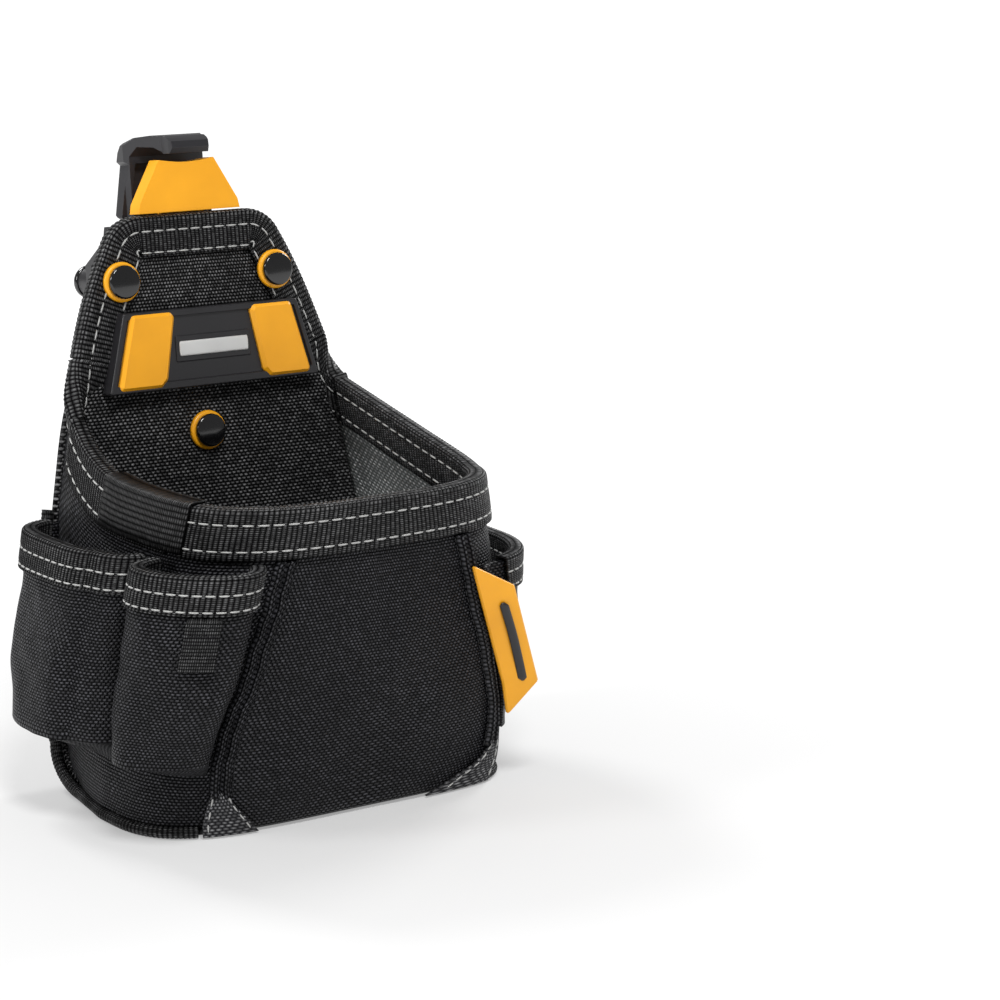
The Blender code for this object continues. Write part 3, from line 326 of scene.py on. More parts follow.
STEEL, STEEL_SHADER, _ = new_look("bright_steel", (0.6, 0.6, 0.61), 0.3)
STEEL_SHADER.inputs["Metallic"].default_value = 1.0


# ---- the pouch's shape ----
def even(first, last, count):
    return [first + (last - first) * step / count for step in range(count + 1)]


def run_at(places, index):
    return (places[min(index + 1, len(places) - 1)] - places[max(index - 1, 0)]).normalized()


def along(knots, at):
    """Smooth value through (place, value) knots, with level slopes limited to the neighbours'."""
    if at <= knots[0][0]:
        return knots[0][1]
    for index in range(len(knots) - 1):
        (a, low), (b, high) = knots[index], knots[index + 1]
        if at <= b:
            slope = (high - low) / (b - a)
            before = knots[max(index - 1, 0)]
            after = knots[min(index + 2, len(knots) - 1)]
            start = (high - before[1]) / (b - before[0])
            end = (after[1] - low) / (after[0] - a)
            t = (at - a) / (b - a)
            return (low + (high - low) * t
                    + (b - a) * t * (1 - t) * ((1 - t) * (start - slope) - t * (end - slope)))
    return knots[-1][1]


def back_y(z):
    straight = LOWER_RIVET[1] + (max(z, UPRIGHT_TOP_Z) - LOWER_RIVET[2]) * math.tan(LEAN)
    if z >= HEEL_HEIGHT:
        return straight
    rise = min((HEEL_HEIGHT - z) / (HEEL_HEIGHT - BACK_WALL), 1)
    return straight - (HEEL_REACH - BACK_WALL) * (1 - math.sqrt(1 - rise ** 2))


def around(station, z, inset=0.0):
    """Point of the outer wall: station 0 is the front centre, -1 and 1 the rear seams."""
    side = int(math.copysign(1, station))
    half = along(BODY_WIDTH[side], z) - inset
    depth = along(FRONT_DEPTH, z) - inset
    centre = along(FRONT_CENTRE, z)
    power = 2 / along(FRONT_ROUND[side], z)
    if abs(station) <= 0.5:
        angle = abs(station) * math.pi
        x = half * math.sin(angle) ** power
        y = centre - depth * max(math.cos(angle), 0) ** power
    else:
        share = (abs(station) - 0.5) * 2
        x = half - along(REAR_TAPER[side], z) * share ** 1.6
        rear = back_y(z) - SEAM_GAP - HEEL_CLEARANCE * max(1 - z / HEEL_HEIGHT, 0)
        y = centre + (rear - centre) * share
    return Vector((side * x, y, z))


def outward(station, z):
    if abs(station) > 0.5:
        return Vector((math.copysign(1, station), 0, 0))
    step = 0.004
    run = around(station + step, z) - around(station - step, z)
    return Vector((run.y, -run.x, 0)).normalized()


def seam_station(z, side):
    share = along(SEAM_HALF[side], z) / along(BODY_WIDTH[side], z)
    return math.asin(share ** (along(FRONT_ROUND[side], z) / 2)) / math.pi


def edge_z(station):
    y = around(station, RIM_Z).y
    if station < 0:
        return RIM_Z + SHOULDER_RISE * max((y + 20) / 80, 0) ** 3.2
    return RIM_Z + SHOULDER_RISE * max((y + 46) / 106, 0) ** 1.1


def panel_half(z, side):
    if z <= NECK_FOOT_Z:
        return along(BODY_WIDTH[side], z) - along(REAR_TAPER[side], z) + 0.6
    return along(NECK_WIDTH[side], z) - TAPE - TAPE_GAP


def panel_row(z, trim=0.0):
    lean = LEAN * min(max((z - UPRIGHT_TOP_Z) / LEAN_RUN, 0), 1)
    y = back_y(z) + BACK_WALL * math.cos(lean)
    rear_z = z - BACK_WALL * math.sin(lean)
    return Vector((panel_half(z, 1) - trim, y, rear_z)), Vector((trim - panel_half(z, -1), y, rear_z))


def corner_row(angle):
    top = NECK_TOP_Z - TAPE - TAPE_GAP
    start = top - NECK_CORNER * (1 - math.sin(NECK_SLOPE))
    trim = NECK_CORNER * (math.cos(NECK_SLOPE) - math.cos(angle))
    right, left = panel_row(top - NECK_CORNER * (1 - math.sin(angle)))
    return (Vector((panel_half(start, 1) - trim, right.y, right.z)),
            Vector((trim - panel_half(start, -1), left.y, left.z)))


def heel_half(share, side):
    foot = along(BODY_WIDTH[side], 0) - along(REAR_TAPER[side], 0) - PIPING_INSET - PIPING_RADIUS - PIPING_GAP
    return panel_half(HEEL_HEIGHT, side) * (1 - share) + foot * share


def panel_point(x, depth, height):
    """A point given in the panel frame."""
    return Vector((x, LOWER_RIVET[1] + depth * math.cos(LEAN) + height * math.sin(LEAN),
                   LOWER_RIVET[2] - depth * math.sin(LEAN) + height * math.cos(LEAN)))


class Pocket:
    """An open sack sewn to the body between two seams; share runs across it from 0 to 1."""

    def __init__(self, name, first, last, depth, fullness, rim, foot, drop):
        self.name, self.first, self.last = name, first, last
        self.depth, self.fullness = depth, fullness
        self.rim, self.foot, self.drop = rim, foot, drop

    def station(self, share, z):
        return self.first(z) + (self.last(z) - self.first(z)) * share

    def stand(self, share, z):
        power = self.fullness[0] if share < 0.5 else self.fullness[1]
        swell = (1 - abs(2 * share - 1) ** power) ** (1 / power)
        return max(along(self.depth, z) * swell, POCKET_WALL + 0.35)

    def face(self, share, z):
        station = self.station(share, z)
        return around(station, z, -POCKET_GAP) + outward(station, z) * self.stand(share, z)

    def out(self, share, z):
        run = self.face(min(share + 0.01, 1), z) - self.face(max(share - 0.01, 0), z)
        return Vector((run.y, -run.x, 0)).normalized()


def beside_seam(z, side):
    return side * (seam_station(z, side) + 0.035)


def front_pocket_end(z):
    return beside_seam(z, -1) - along(((70, 0.0), (116, 0.025)), z)


LEFT_REAR_POCKET = Pocket("left_rear_pocket", lambda z: -0.955, lambda z: -0.457,
                          ((30, 30), (60, 29), (90, 26.5), (118, 25)), (3.2, 3.2), 116.5, 40, 13)
LEFT_FRONT_POCKET = Pocket("left_front_pocket", lambda z: -0.437, front_pocket_end,
                           ((30, 23), (60, 26), (118, 25.5)), (3.4, 3.4), 116, 37, 9)
RIGHT_POCKET = Pocket("right_pocket", lambda z: beside_seam(z, 1), lambda z: 0.955,
                      ((20, 8), (60, 15), (104, 20)), (1.2, 2.6), 102, 34, 10)


# ---- making meshes ----
def finish_mesh(mesh, merge=False):
    """Smooth faces turned outward; merge first joins the CAD's triangles into whole faces."""
    bm = bmesh.new()
    bm.from_mesh(mesh)
    if merge:
        bmesh.ops.remove_doubles(bm, verts=bm.verts, dist=0.000004)
        bmesh.ops.dissolve_limit(bm, angle_limit=math.radians(1.0), verts=bm.verts, edges=bm.edges)
    bmesh.ops.recalc_face_normals(bm, faces=bm.faces)
    for one in bm.faces:
        one.smooth = True
    bm.to_mesh(mesh)
    bm.free()


def build(name, verts, faces, looks, uvs=None, face_look=None, nodes=()):
    """A mesh from points in millimetres; uvs are millimetres along the cloth, one per vertex.

    nodes are the CAD nodes it stands for, which are hidden.
    """
    mesh = bpy.data.meshes.new(name)
    mesh.from_pydata([tuple(point * MM) for point in verts], [], faces)
    for look in looks:
        mesh.materials.append(look)
    if uvs:
        layer = mesh.uv_layers.new(name="cloth")
        for loop in mesh.loops:
            u, v = uvs[loop.vertex_index]
            layer.data[loop.index].uv = (u * MM, v * MM)
    if face_look:
        for polygon, index in zip(mesh.polygons, face_look):
            polygon.material_index = index
    finish_mesh(mesh)
    item = linked(name, mesh)
    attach(item, POUCH)
    if nodes:
        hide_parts(*nodes)
    return item


def lengths_along(points):
    lengths = [0.0]
    for one, two in zip(points, points[1:]):
        lengths.append(lengths[-1] + (two - one).length)
    return lengths


def grid_normals(grid):
    last_row, last = len(grid) - 1, len(grid[0]) - 1
    return [[(grid[i][min(j + 1, last)] - grid[i][max(j - 1, 0)]).cross(
                 grid[min(i + 1, last_row)][j] - grid[max(i - 1, 0)][j]).normalized()
             for j in range(last + 1)] for i in range(last_row + 1)]


def cloth(name, grid, thickness, outer, inner=None, relief=None, held=None, **kept):
    """A closed fabric sheet from a grid of points seen from outside, left to right, bottom to top.
    """
    rows, columns = len(grid), len(grid[0])
    normals = grid_normals(grid)
    verts, uvs = [], []
    widths, heights = lengths_along(grid[rows // 2]), lengths_along([row[columns // 2] for row in grid])
    for layer in (0, 1):
        for i in range(rows):
            for j in range(columns):
                point = grid[i][j]
                lift = relief(j / (columns - 1), i / (rows - 1), point) if relief else 0.0
                verts.append(point + normals[i][j] * (lift - layer * thickness))
                uvs.append((widths[j], heights[i]))
    back = rows * columns
    faces, chosen = [], []
    for i in range(rows - 1):
        for j in range(columns - 1):
            a = i * columns + j
            faces.append((a, a + 1, a + columns + 1, a + columns))
            faces.append((back + a, back + a + columns, back + a + columns + 1, back + a + 1))
            chosen += [0, 1]
    border = (list(range(columns)) + [i * columns + columns - 1 for i in range(1, rows)]
              + [(rows - 1) * columns + j for j in range(columns - 2, -1, -1)]
              + [i * columns for i in range(rows - 2, 0, -1)])
    for one, two in zip(border, border[1:] + border[:1]):
        faces.append((one, back + one, back + two, two))
        chosen.append(0)
    item = build(name, verts, faces, [outer, inner or outer], uvs, chosen, **kept)
    if held:
        flat = [max(lengths_along(line)[-1] for line in lines) * MM for lines in (grid, zip(*grid))]
        area = sum((b - a).cross(d - a).length / 2 + (b - c).cross(d - c).length / 2
                   for low, high in zip(grid, grid[1:]) for a, b, c, d in zip(low, low[1:], high[1:], high))
    return item


def tube_faces(rings, count, base=0):
    """Faces through rings of count points each, numbered from base, with a cap at both ends."""
    faces = []
    for here in range(base, base + (rings - 1) * count, count):
        for j in range(count):
            k = (j + 1) % count
            faces.append((here + j, here + k, here + count + k, here + count + j))
    last = base + (rings - 1) * count
    return faces + [tuple(range(base, base + count))[::-1], tuple(range(last, last + count))]


def lofted(name, rings, look, uvs=None, **kept):
    """A closed solid through rings of points, capped at both ends; uvs match the rings."""
    verts = [point for ring in rings for point in ring]
    flat = uvs and [uv for ring in uvs for uv in ring]
    return build(name, verts, tube_faces(len(rings), len(rings[0])), [look], flat, **kept)


def resample(points, step):
    """Lists of values (each a tuple of vectors and numbers led by a place) at even steps of length."""
    lengths = lengths_along([point[0] for point in points])
    count = max(int(round(lengths[-1] / step)), 2)
    result, at = [], 0
    for index in range(count + 1):
        want = lengths[-1] * index / count
        while at < len(points) - 2 and lengths[at + 1] < want:
            at += 1
        span = lengths[at + 1] - lengths[at]
        t = (want - lengths[at]) / span if span > 1e-9 else 0.0
        one, two = points[at], points[at + 1]
        result.append((want, *(a + (b - a) * t for a, b in zip(one, two))))
    return result


def stitches(name, line, look=THREAD, pitch=6.0, length=4.5, radius=0.42, sink=0.25):
    """A row of thread stitches along (place, normal) pairs, each dipping into the cloth at its ends."""
    path = resample(line, 0.75)
    total = path[-1][0]
    count = max(int(total / pitch), 1)
    verts, faces, uvs = [], [], []
    for index in range(count):
        start = total * index / count + (pitch - length) / 2
        base = len(verts)
        for ring in range(6):
            share = ring / 5
            want = start + length * share
            at = min(int(want / total * (len(path) - 1)), len(path) - 2)
            t = want / total * (len(path) - 1) - at
            (_, here, out), (_, after, out_after) = path[at], path[at + 1]
            place = here + (after - here) * t
            normal = (out + (out_after - out) * t).normalized()
            run = (after - here).normalized()
            side = run.cross(normal).normalized()
            swell = radius * (0.45 + 0.55 * math.sin(math.pi * (0.12 + 0.76 * share)))
            lift = radius * 0.55 - sink * (2 * share - 1) ** 4
            for turn in range(6):
                angle = math.pi * turn / 3
                verts.append(place + normal * (lift + math.sin(angle) * swell) + side * math.cos(angle) * swell)
                uvs.append((want, angle * radius))
        faces += tube_faces(6, 6, base)
    build(name, verts, faces, [look], uvs)


def tape(name, path, thick, rows=(), look=RIBBED, rib=0.3, pitch=2.0, **kept):
    """Webbing folded over an edge. path holds (edge, out, up, outer leg, inner leg, half wall).

    rows are the depths below the edge where thread pulls the webbing in.
    """
    frames = resample(path, pitch / 4)
    head = TAPE_GAP + thick
    marks = (0.0, 0.25, 0.5, 0.75, 1.0)
    rings, uvs = [], []
    for s, edge, out, up, leg_out, leg_in, half_wall in frames:
        out, up = out.normalized(), up.normalized()
        outer_half = half_wall + TAPE_GAP + thick
        inner_half = half_wall + TAPE_GAP
        ridge = rib * (0.5 - 0.5 * math.cos(2 * math.pi * s / pitch))
        ring, line = [], []
        for side, depth in ((1, leg_out), (-1, leg_in)):
            places = [depth * mark for mark in marks]
            held = [min(row, depth - ROW_TO_HEM) for row in rows]
            for row in held:
                places += [row - 1.3, row - 0.4, row + 0.4, row + 1.3]
            places.sort()
            leg_points = []
            for below in places[::-1]:
                pull = sum(0.45 * math.exp(-((below - row) / 0.9) ** 2) for row in held)
                hem = 0.35 if below > depth - 0.3 else 0.0
                a = side * (outer_half + ridge - pull - hem)
                leg_points.append((a, -below, head + below))
            bend = []
            for turn in range(1, 5):
                angle = math.pi / 2 * turn / 4
                a = side * (outer_half + ridge) * math.cos(angle) ** 0.62
                b = (head + ridge) * math.sin(angle) ** 0.62
                bend.append((a, b, head * (1 - turn / 4)))
            for a, b, v in leg_points + bend if side == 1 else (leg_points + bend[:-1])[::-1]:
                ring.append(edge + out * a + up * b)
                line.append((s, side * v))
        for a, b in ((-inner_half, -leg_in), (-inner_half, 0), (-inner_half * 0.9, TAPE_GAP * 0.9),
                     (inner_half * 0.9, TAPE_GAP * 0.9), (inner_half, 0), (inner_half, -leg_out)):
            ring.append(edge + out * a + up * b)
            line.append((s, a))
        rings.append(ring)
        uvs.append(line)
    lofted(name, rings, look, uvs, **kept)


def tape_threads(name, path, rows, thick, **kept):
    """An upper and a lower row of stitches on both faces of a tape; rows are depths below the edge."""
    for label, below in zip(("upper", "lower"), rows):
        for side_label, side in (("out", 1), ("in", -1)):
            line = []
            for edge, out, up, leg_out, leg_in, half_wall in path:
                out, up = out.normalized(), up.normalized()
                depth = min(below, (leg_out if side == 1 else leg_in) - ROW_TO_HEM)
                line.append((edge + out * side * (half_wall + TAPE_GAP + thick - 0.3) - up * depth, out * side))
            stitches(f"{name}_{label}_{side_label}", line, **kept)


def wrinkle(point, scale, amount, seed=0.0):
    return noise.noise(point * scale + Vector((seed, seed * 1.7, 0))) * amount


# ---- panels ----
def edge_fade(share, width):
    return min(1.0, min(share, 1 - share) / width)


def faded(u, v, width, foot, head):
    """0 on the sewn edges, 1 well inside them."""
    return edge_fade(u, width) * min(1, v / foot) * min(1, (1 - v) / head)


def make_front():
    rows = []
    count = 46
    for i in range(count + 1):
        z = FRONT_FOOT_Z + (RIM_Z - FRONT_FOOT_Z) * (i / count) ** 1.15
        edges = {side: seam_station(z, side) - SEAM_SHARE for side in (-1, 1)}
        tuck = FOOT_ROUND - math.sqrt(max(FOOT_ROUND ** 2 - max(3.5 - z, 0) ** 2, 0))
        rows.append([around(edges[-1 if j < 0 else 1] * j / count, z, tuck) for j in range(-count, count + 1)])

    def relief(u, v, point):
        fade = faded(u, v, 0.12, 0.1, 0.1)
        puff = 1.1 * math.sin(math.pi * u) * math.sin(math.pi * min(v * 1.1, 1))
        return (puff + wrinkle(point, 0.028, 1.5) + wrinkle(point, 0.09, 0.5, 3)) * fade * 0.8
    cloth("front_cloth", rows, WALL - 0.2, BODY_WEAVE, relief=relief, held="stretched", nodes=("front_panel",))


def make_gusset(side):
    name = SIDE_NAME[side] + "_gusset"
    rows = []
    columns = 64
    for level in even(0, 1, 44):
        row = []
        for j in range(columns + 1):
            share = j / columns
            seam_z = GUSSET_FOOT_Z + (RIM_Z - GUSSET_FOOT_Z) * level
            start = seam_station(seam_z, side) + SEAM_SHARE
            station = side * (start + (1 - start) * share)
            z = GUSSET_FOOT_Z + (edge_z(station) - GUSSET_FOOT_Z) * level
            row.append(around(station, z))
        rows.append(row if side > 0 else row[::-1])

    def relief(u, v, point):
        fade = faded(u, v, 0.1, 0.08, 0.15)
        return (wrinkle(point, 0.03, 1.3, 7) + wrinkle(point, 0.08, 0.5, 9) + 0.4) * fade * 0.8
    cloth(name + "_cloth", rows, WALL - 0.2, BODY_WEAVE, LINING, relief, held="stretched", nodes=(name,))


def make_back():
    heel_y = back_y(HEEL_HEIGHT) + BACK_WALL
    pairs = []
    for step in range(12):
        share = 1 - step / 12
        angle = math.pi / 2 * share
        y = heel_y - HEEL_REACH + HEEL_REACH * math.cos(angle)
        z = HEEL_HEIGHT - HEEL_HEIGHT * math.sin(angle)
        pairs.append((Vector((heel_half(share, 1), y, z)), Vector((-heel_half(share, -1), y, z))))
    z = HEEL_HEIGHT
    while z < 225:
        pairs.append(panel_row(z))
        z += 3.0
    pairs += [corner_row(angle) for angle in even(NECK_SLOPE, math.pi / 2, 8)]
    grid = [[right.lerp(left, j / 54) for j in range(55)] for right, left in pairs]

    def relief(u, v, point):
        return wrinkle(point, 0.03, 0.8, 5) * faded(u, v, 0.15, 0.1, 0.1) if point.z < 112 else 0.0
    panel = cloth("back_panel_cloth", grid, BACK_WALL, BACK_WEAVE, relief=relief, nodes=("back_panel",))


def make_base():
    inset = PIPING_INSET + PIPING_RADIUS + PIPING_GAP
    rear = back_y(HEEL_HEIGHT) + BACK_WALL - HEEL_REACH - PIPING_GAP
    front = [around(step / 48, PIPING_RADIUS, inset) for step in range(-24, 25)]
    tails = {side: side * heel_half(1, side) for side in (-1, 1)}
    rows = []
    for share in even(0, 1, 30):
        row = []
        for p in front:
            x = p.x * (1 + (tails[-1 if p.x < 0 else 1] / front[0 if p.x < 0 else -1].x - 1) * (1 - share) ** 1.6)
            row.append(Vector((x, rear + (p.y - rear) * share, 3.0)))
        rows.append(row)

    def relief(u, v, point):
        return wrinkle(point, 0.05, 0.25, 11) * edge_fade(u, 0.1) * edge_fade(v, 0.1)
    cloth("base_cloth", [row[::-1] for row in rows], 2.9, BODY_WEAVE, relief=relief, nodes=("base_panel",))


def make_piping(side):
    name = SIDE_NAME[side] + "_seam_piping"
    reach, height = HEEL_REACH - PIPING_RADIUS, HEEL_HEIGHT - PIPING_RADIUS
    centre_y = back_y(HEEL_HEIGHT) + BACK_WALL / 2 - reach
    points = []
    for z in (PIPING_TOP_Z, 110, 95, 80, 60, 40, 24):
        x = panel_half(z, side) + PIPING_GAP + PIPING_RADIUS
        points.append(Vector((side * x, back_y(z) + BACK_WALL / 2, z)))
    for step in range(9):
        angle = math.pi / 2 * step / 8
        x = heel_half(step / 8, side) + PIPING_GAP + PIPING_RADIUS
        points.append(Vector((side * x, centre_y + reach * math.cos(angle), HEEL_HEIGHT - height * math.sin(angle))))
    last = seam_station(PIPING_RADIUS, side) + 0.066
    points += [around(side * station, PIPING_RADIUS, PIPING_INSET) for station in even(0.68, last, 40)]
    frames = resample([(point,) for point in points], 0.6)
    places = [place for _, place in frames]
    rings, uvs = [], []
    for index, (s, place) in enumerate(frames):
        run = run_at(places, index)
        out = Vector((side, 0, 0)) - run * run.x * side
        out = out.normalized() if out.length > 0.2 else Vector((0, -1, 0))
        up = run.cross(out).normalized()
        out = up.cross(run)
        size = PIPING_RADIUS + 0.02 + 0.13 * math.cos(2 * math.pi * s / 1.8)
        rings.append([place + (out * math.cos(math.pi * k / 7) + up * math.sin(math.pi * k / 7)) * size
                      for k in range(14)])
        uvs.append([(s, k * 1.2) for k in range(14)])
    lofted(name + "_cord", rings, RIBBED, uvs, nodes=(name,))


def make_seam(side):
    name = SIDE_NAME[side] + "_front_seam"
    section = [(a, 2.15 * abs(math.sin(math.pi * min(abs(a), 4.2) / 4.2)) ** 0.7 + 0.35)
               for a in [k * 0.42 for k in range(-11, 12)]]
    flat = section[::-1][1:-1:4]
    rings, uvs, seam_lines = [], [], {-1: [], 0: [], 1: []}
    for z in even(17.5, RIM_Z - RIM_TAPE_LEG - 0.7, 60):
        station = side * seam_station(z, side)
        centre = around(station, z)
        out = outward(station, z)
        across = Vector((-out.y, out.x, 0))
        wave = 0.35 * math.sin(z * 0.21) + 0.2 * math.sin(z * 0.53)
        top = [centre + across * (a + wave) + out * (b + 0.12) for a, b in section]
        foot = [centre + across * (a + wave) + out * -0.1 for a, _ in flat]
        rings.append(top + foot)
        uvs.append([(z, a) for a, _ in section + flat])
        seam_lines[0].append((centre + across * wave + out * 0.75, out))
        for row in (-1, 1):
            seam_lines[row].append((centre + across * (wave + 4.9 * row) + out * 0.35, out))
    lofted(name + "_fold", rings, BODY_WEAVE, uvs, nodes=(name,))
    stitches(name + "_thread", seam_lines[0], DARK_THREAD, 3.6, 2.9, 0.3)
    stitches(name + "_edge_thread", seam_lines[-side], DARK_THREAD, 3.6, 2.9, 0.3)


def make_patch(side):
    name = SIDE_NAME[side] + "_corner_patch"
    knots = PATCH_REACH[side]
    ahead, behind = [(z, one) for z, one, _ in knots], [(z, two) for z, _, two in knots]
    rows = []
    for z in even(0.5, 19.5, 20):
        middle = seam_station(z, side)
        stations = [middle - along(ahead, z) * (1 - step / 14) for step in range(14)]
        stations += [middle + along(behind, z) * step / 8 for step in range(9)]
        row = [around(side * station, z, -1.7) for station in stations]
        rows.append(row if side > 0 else row[::-1])

    def relief(u, v, point):
        return (0.5 * math.sin(math.pi * u) + wrinkle(point, 0.15, 0.3)) * edge_fade(v, 0.1)
    cloth(name + "_cloth", rows, 1.2, PATCH, relief=relief, nodes=(name,))
    for label, column in (("a", 2), ("b", 20)):
        line = []
        for row in rows[2:]:
            place = row[column]
            out = outward(side * seam_station(place.z, side), place.z)
            line.append((place + out * 0.1, out))
        stitches(f"{name}_thread_{label}", line, THREAD, 4.4, 3.4, 0.36)


make_front()
make_gusset(-1)
make_gusset(1)
make_back()
make_base()
for each in (-1, 1):
    make_piping(each)
    make_seam(each)
    make_patch(each)


# ---- bindings ----
BACKWARDS = Vector((0, math.cos(LEAN), -math.sin(LEAN)))


def rim_frame(station, leg=RIM_TAPE_LEG, lift=0.0):
    """Where a tape sits on the body's top edge at a station."""
    z = edge_z(station)
    top, foot = around(station, z, WALL / 2), around(station, z - leg, WALL / 2)
    up = (top - foot).normalized()
    return top + up * lift, outward(station, z), up, leg, leg, WALL / 2 + lift


def panel_frames():
    """Frames up the right of the neck, over its top and down the left."""
    rows = [panel_row(z) for z in (183, 188, 193, 198, 203, 208, 213, 218, 223)]
    legs = [NECK_TAPE_LEG] * len(rows)
    for step in range(13):
        rows.append(corner_row(NECK_SLOPE + (math.pi / 2 - NECK_SLOPE) * step / 12))
        legs.append(NECK_TAPE_LEG - (NECK_TAPE_LEG - NECK_CORNER_LEG) * math.sin(math.pi * step / 12) ** 0.5)
    places = [row[0] for row in rows] + [row[1] for row in rows[::-1]]
    legs = legs + legs[::-1]
    for _ in range(3):
        legs = [legs[0]] + [(a + b + c) / 3 for a, b, c in zip(legs, legs[1:], legs[2:])] + [legs[-1]]
    places = [place - BACKWARDS * BACK_WALL / 2 for place in places]
    frames = []
    for index, (place, leg) in enumerate(zip(places, legs)):
        up = BACKWARDS.cross(run_at(places, index)).normalized()
        frames.append((place, BACKWARDS, up, leg, leg, BACK_WALL / 2))
    top = len(rows)
    across = [(frames[top - 1][0].lerp(frames[top][0], t / 16), *frames[top][1:]) for t in range(1, 16)]
    return frames[:top] + across + frames[top:]


def turned_over(before, after, steps=14):
    """Frames that twist the tape across a shoulder, from the end of one path to the start of another."""
    one, two = before[-1], after[0]
    run_one, run_two = (one[0] - before[-2][0]).normalized(), (after[1][0] - two[0]).normalized()
    reach = (two[0] - one[0]).length * 0.42
    a, d = one[0], two[0]
    b, c = a + run_one * reach, d - run_two * reach
    turns = []
    for run, frame_at in ((run_one, one), (run_two, two)):
        turns.append(Matrix((run, frame_at[2], run.cross(frame_at[2]))).transposed().to_quaternion())
    frames = []
    for step in range(1, steps):
        t = step / steps
        place = a * (1 - t) ** 3 + b * 3 * t * (1 - t) ** 2 + c * 3 * t * t * (1 - t) + d * t ** 3
        turn = turns[0].slerp(turns[1], t * t * (3 - 2 * t)).to_matrix()
        legs = [one[k] + (two[k] - one[k]) * t for k in (3, 4, 5)]
        frames.append((place, -turn.col[2], turn.col[1], *legs))
    return frames


def make_edge_binding():
    """One tape from the right front corner, over the neck, to the left front."""
    right = [rim_frame(station) for station in even(*RIGHT_TAPE_ENDS, 60)]
    left = [rim_frame(station) for station in even(*LEFT_TAPE_ENDS, 60)]
    neck = panel_frames()
    path = right + turned_over(right, neck) + neck + turned_over(neck, left) + left
    tape("edge_binding", path, TAPE, RIM_ROWS, nodes=("neck_binding", "left_side_binding", "right_side_binding"))
    tape_threads("edge_thread", path, RIM_ROWS, TAPE)


def make_rim():
    band = [rim_frame(station) for station in even(*RIM_BAND_ENDS, 120)]
    tape("rim_band_tape", band, TAPE, RIM_ROWS, nodes=("rim_band",))
    tape_threads("rim_thread", band, RIM_ROWS, TAPE)
    first, last = OVERLAP_ENDS
    over = []
    for share in even(0, 1, 40):
        ease = 0.35 * max(share - 0.85, 0) / 0.15 + 0.35 * max(0.08 - share, 0) / 0.08
        over.append(rim_frame(first + (last - first) * share, RIM_TAPE_LEG + 0.5, TAPE_GAP + TAPE - ease))
    tape("rim_overlap", over, 1.0, look=SMOOTH_TAPE, rib=0.05, pitch=1.5, nodes=("rim_overlap_tape",))


# ---- pockets ----
def make_pocket(pocket, seed):
    columns = 56
    shares = [0.5 - 0.5 * math.cos(math.pi * step / columns) for step in range(columns + 1)]
    rows = []
    for step in range(10):
        level = 1 - step / 10
        z = pocket.foot - pocket.drop * level ** 1.5
        row = []
        for share in shares:
            wall, outer = around(pocket.station(share, z), z, -FLOOR_GAP), pocket.face(share, pocket.foot)
            row.append(Vector((wall.x + (outer.x - wall.x) * (1 - level) ** 0.8,
                               wall.y + (outer.y - wall.y) * (1 - level) ** 0.8, z)))
        rows.append(row)
    rows += [[pocket.face(share, z) for share in shares] for z in even(pocket.foot, pocket.rim, 32)]

    def relief(u, v, point):
        fade = faded(u, v, 0.12, 0.12, 0.22)
        folds = 0.5 * math.sin(point.z * 0.16 + wrinkle(point, 0.03, 5, seed)) * max(0, 1 - v * 1.6)
        return (wrinkle(point, 0.035, 2.2, seed) + wrinkle(point, 0.1, 0.6, seed) + folds + 0.3) * fade
    cloth(pocket.name + "_cloth", rows, POCKET_WALL - 0.2, BODY_WEAVE, relief=relief, held="stretched",
          nodes=(pocket.name,))
    path = []
    for share in shares:
        if pocket.stand(share, pocket.rim) < TAPED_STAND:
            continue
        ends = []
        for z in (pocket.rim, pocket.rim - POCKET_TAPE_LEG):
            out = pocket.out(share, z)
            ends.append((pocket.face(share, z) - out * POCKET_WALL / 2, out))
        (top, out), (foot, _) = ends
        path.append((top, out, (top - foot).normalized(), POCKET_TAPE_LEG, POCKET_TAPE_LEG, POCKET_WALL / 2))
    name = pocket.name + "_binding"
    tape(name + "_tape", path, POCKET_TAPE, POCKET_ROWS, nodes=(name,))
    tape_threads(name + "_thread", path, POCKET_THREADS, POCKET_TAPE, pitch=5.2, length=4.0)


def make_loop():
    pocket = LEFT_FRONT_POCKET
    out = pocket.out(LOOP_SHARE, LOOP_FOOT_Z)
    across = Vector((-out.y, out.x, 0))
    steps = [LOOP_WIDTH / 2 * k / 6 for k in range(-6, 7)]
    rows = []
    for height in even(0, LOOP_HEIGHT, 52):
        face = pocket.face(LOOP_SHARE, LOOP_FOOT_Z + height)
        rib = 0.16 * math.cos(2 * math.pi * height / 1.55)
        belly = 0.9 * math.sin(math.pi * min(height / 12, 1)) if height < 12 else 0.0
        stand = LOOP_STAND + LOOP_THICK + rib + belly
        rows.append([face + out * (stand - 0.5 * abs(step * 2 / LOOP_WIDTH) ** 6) + across * step for step in steps])
    cloth("pocket_loop_web", rows, LOOP_THICK, LOOP_WEB, nodes=("pocket_loop",))
    for label, height in (("a", 14.5), ("b", 18.2)):
        face = pocket.face(LOOP_SHARE, LOOP_FOOT_Z + height)
        line = [(face + out * (LOOP_STAND + LOOP_THICK) + across * step, out) for step in steps[1:-1]]
        stitches("pocket_loop_thread_" + label, line, DARK_THREAD, 3.0, 2.3, 0.3)


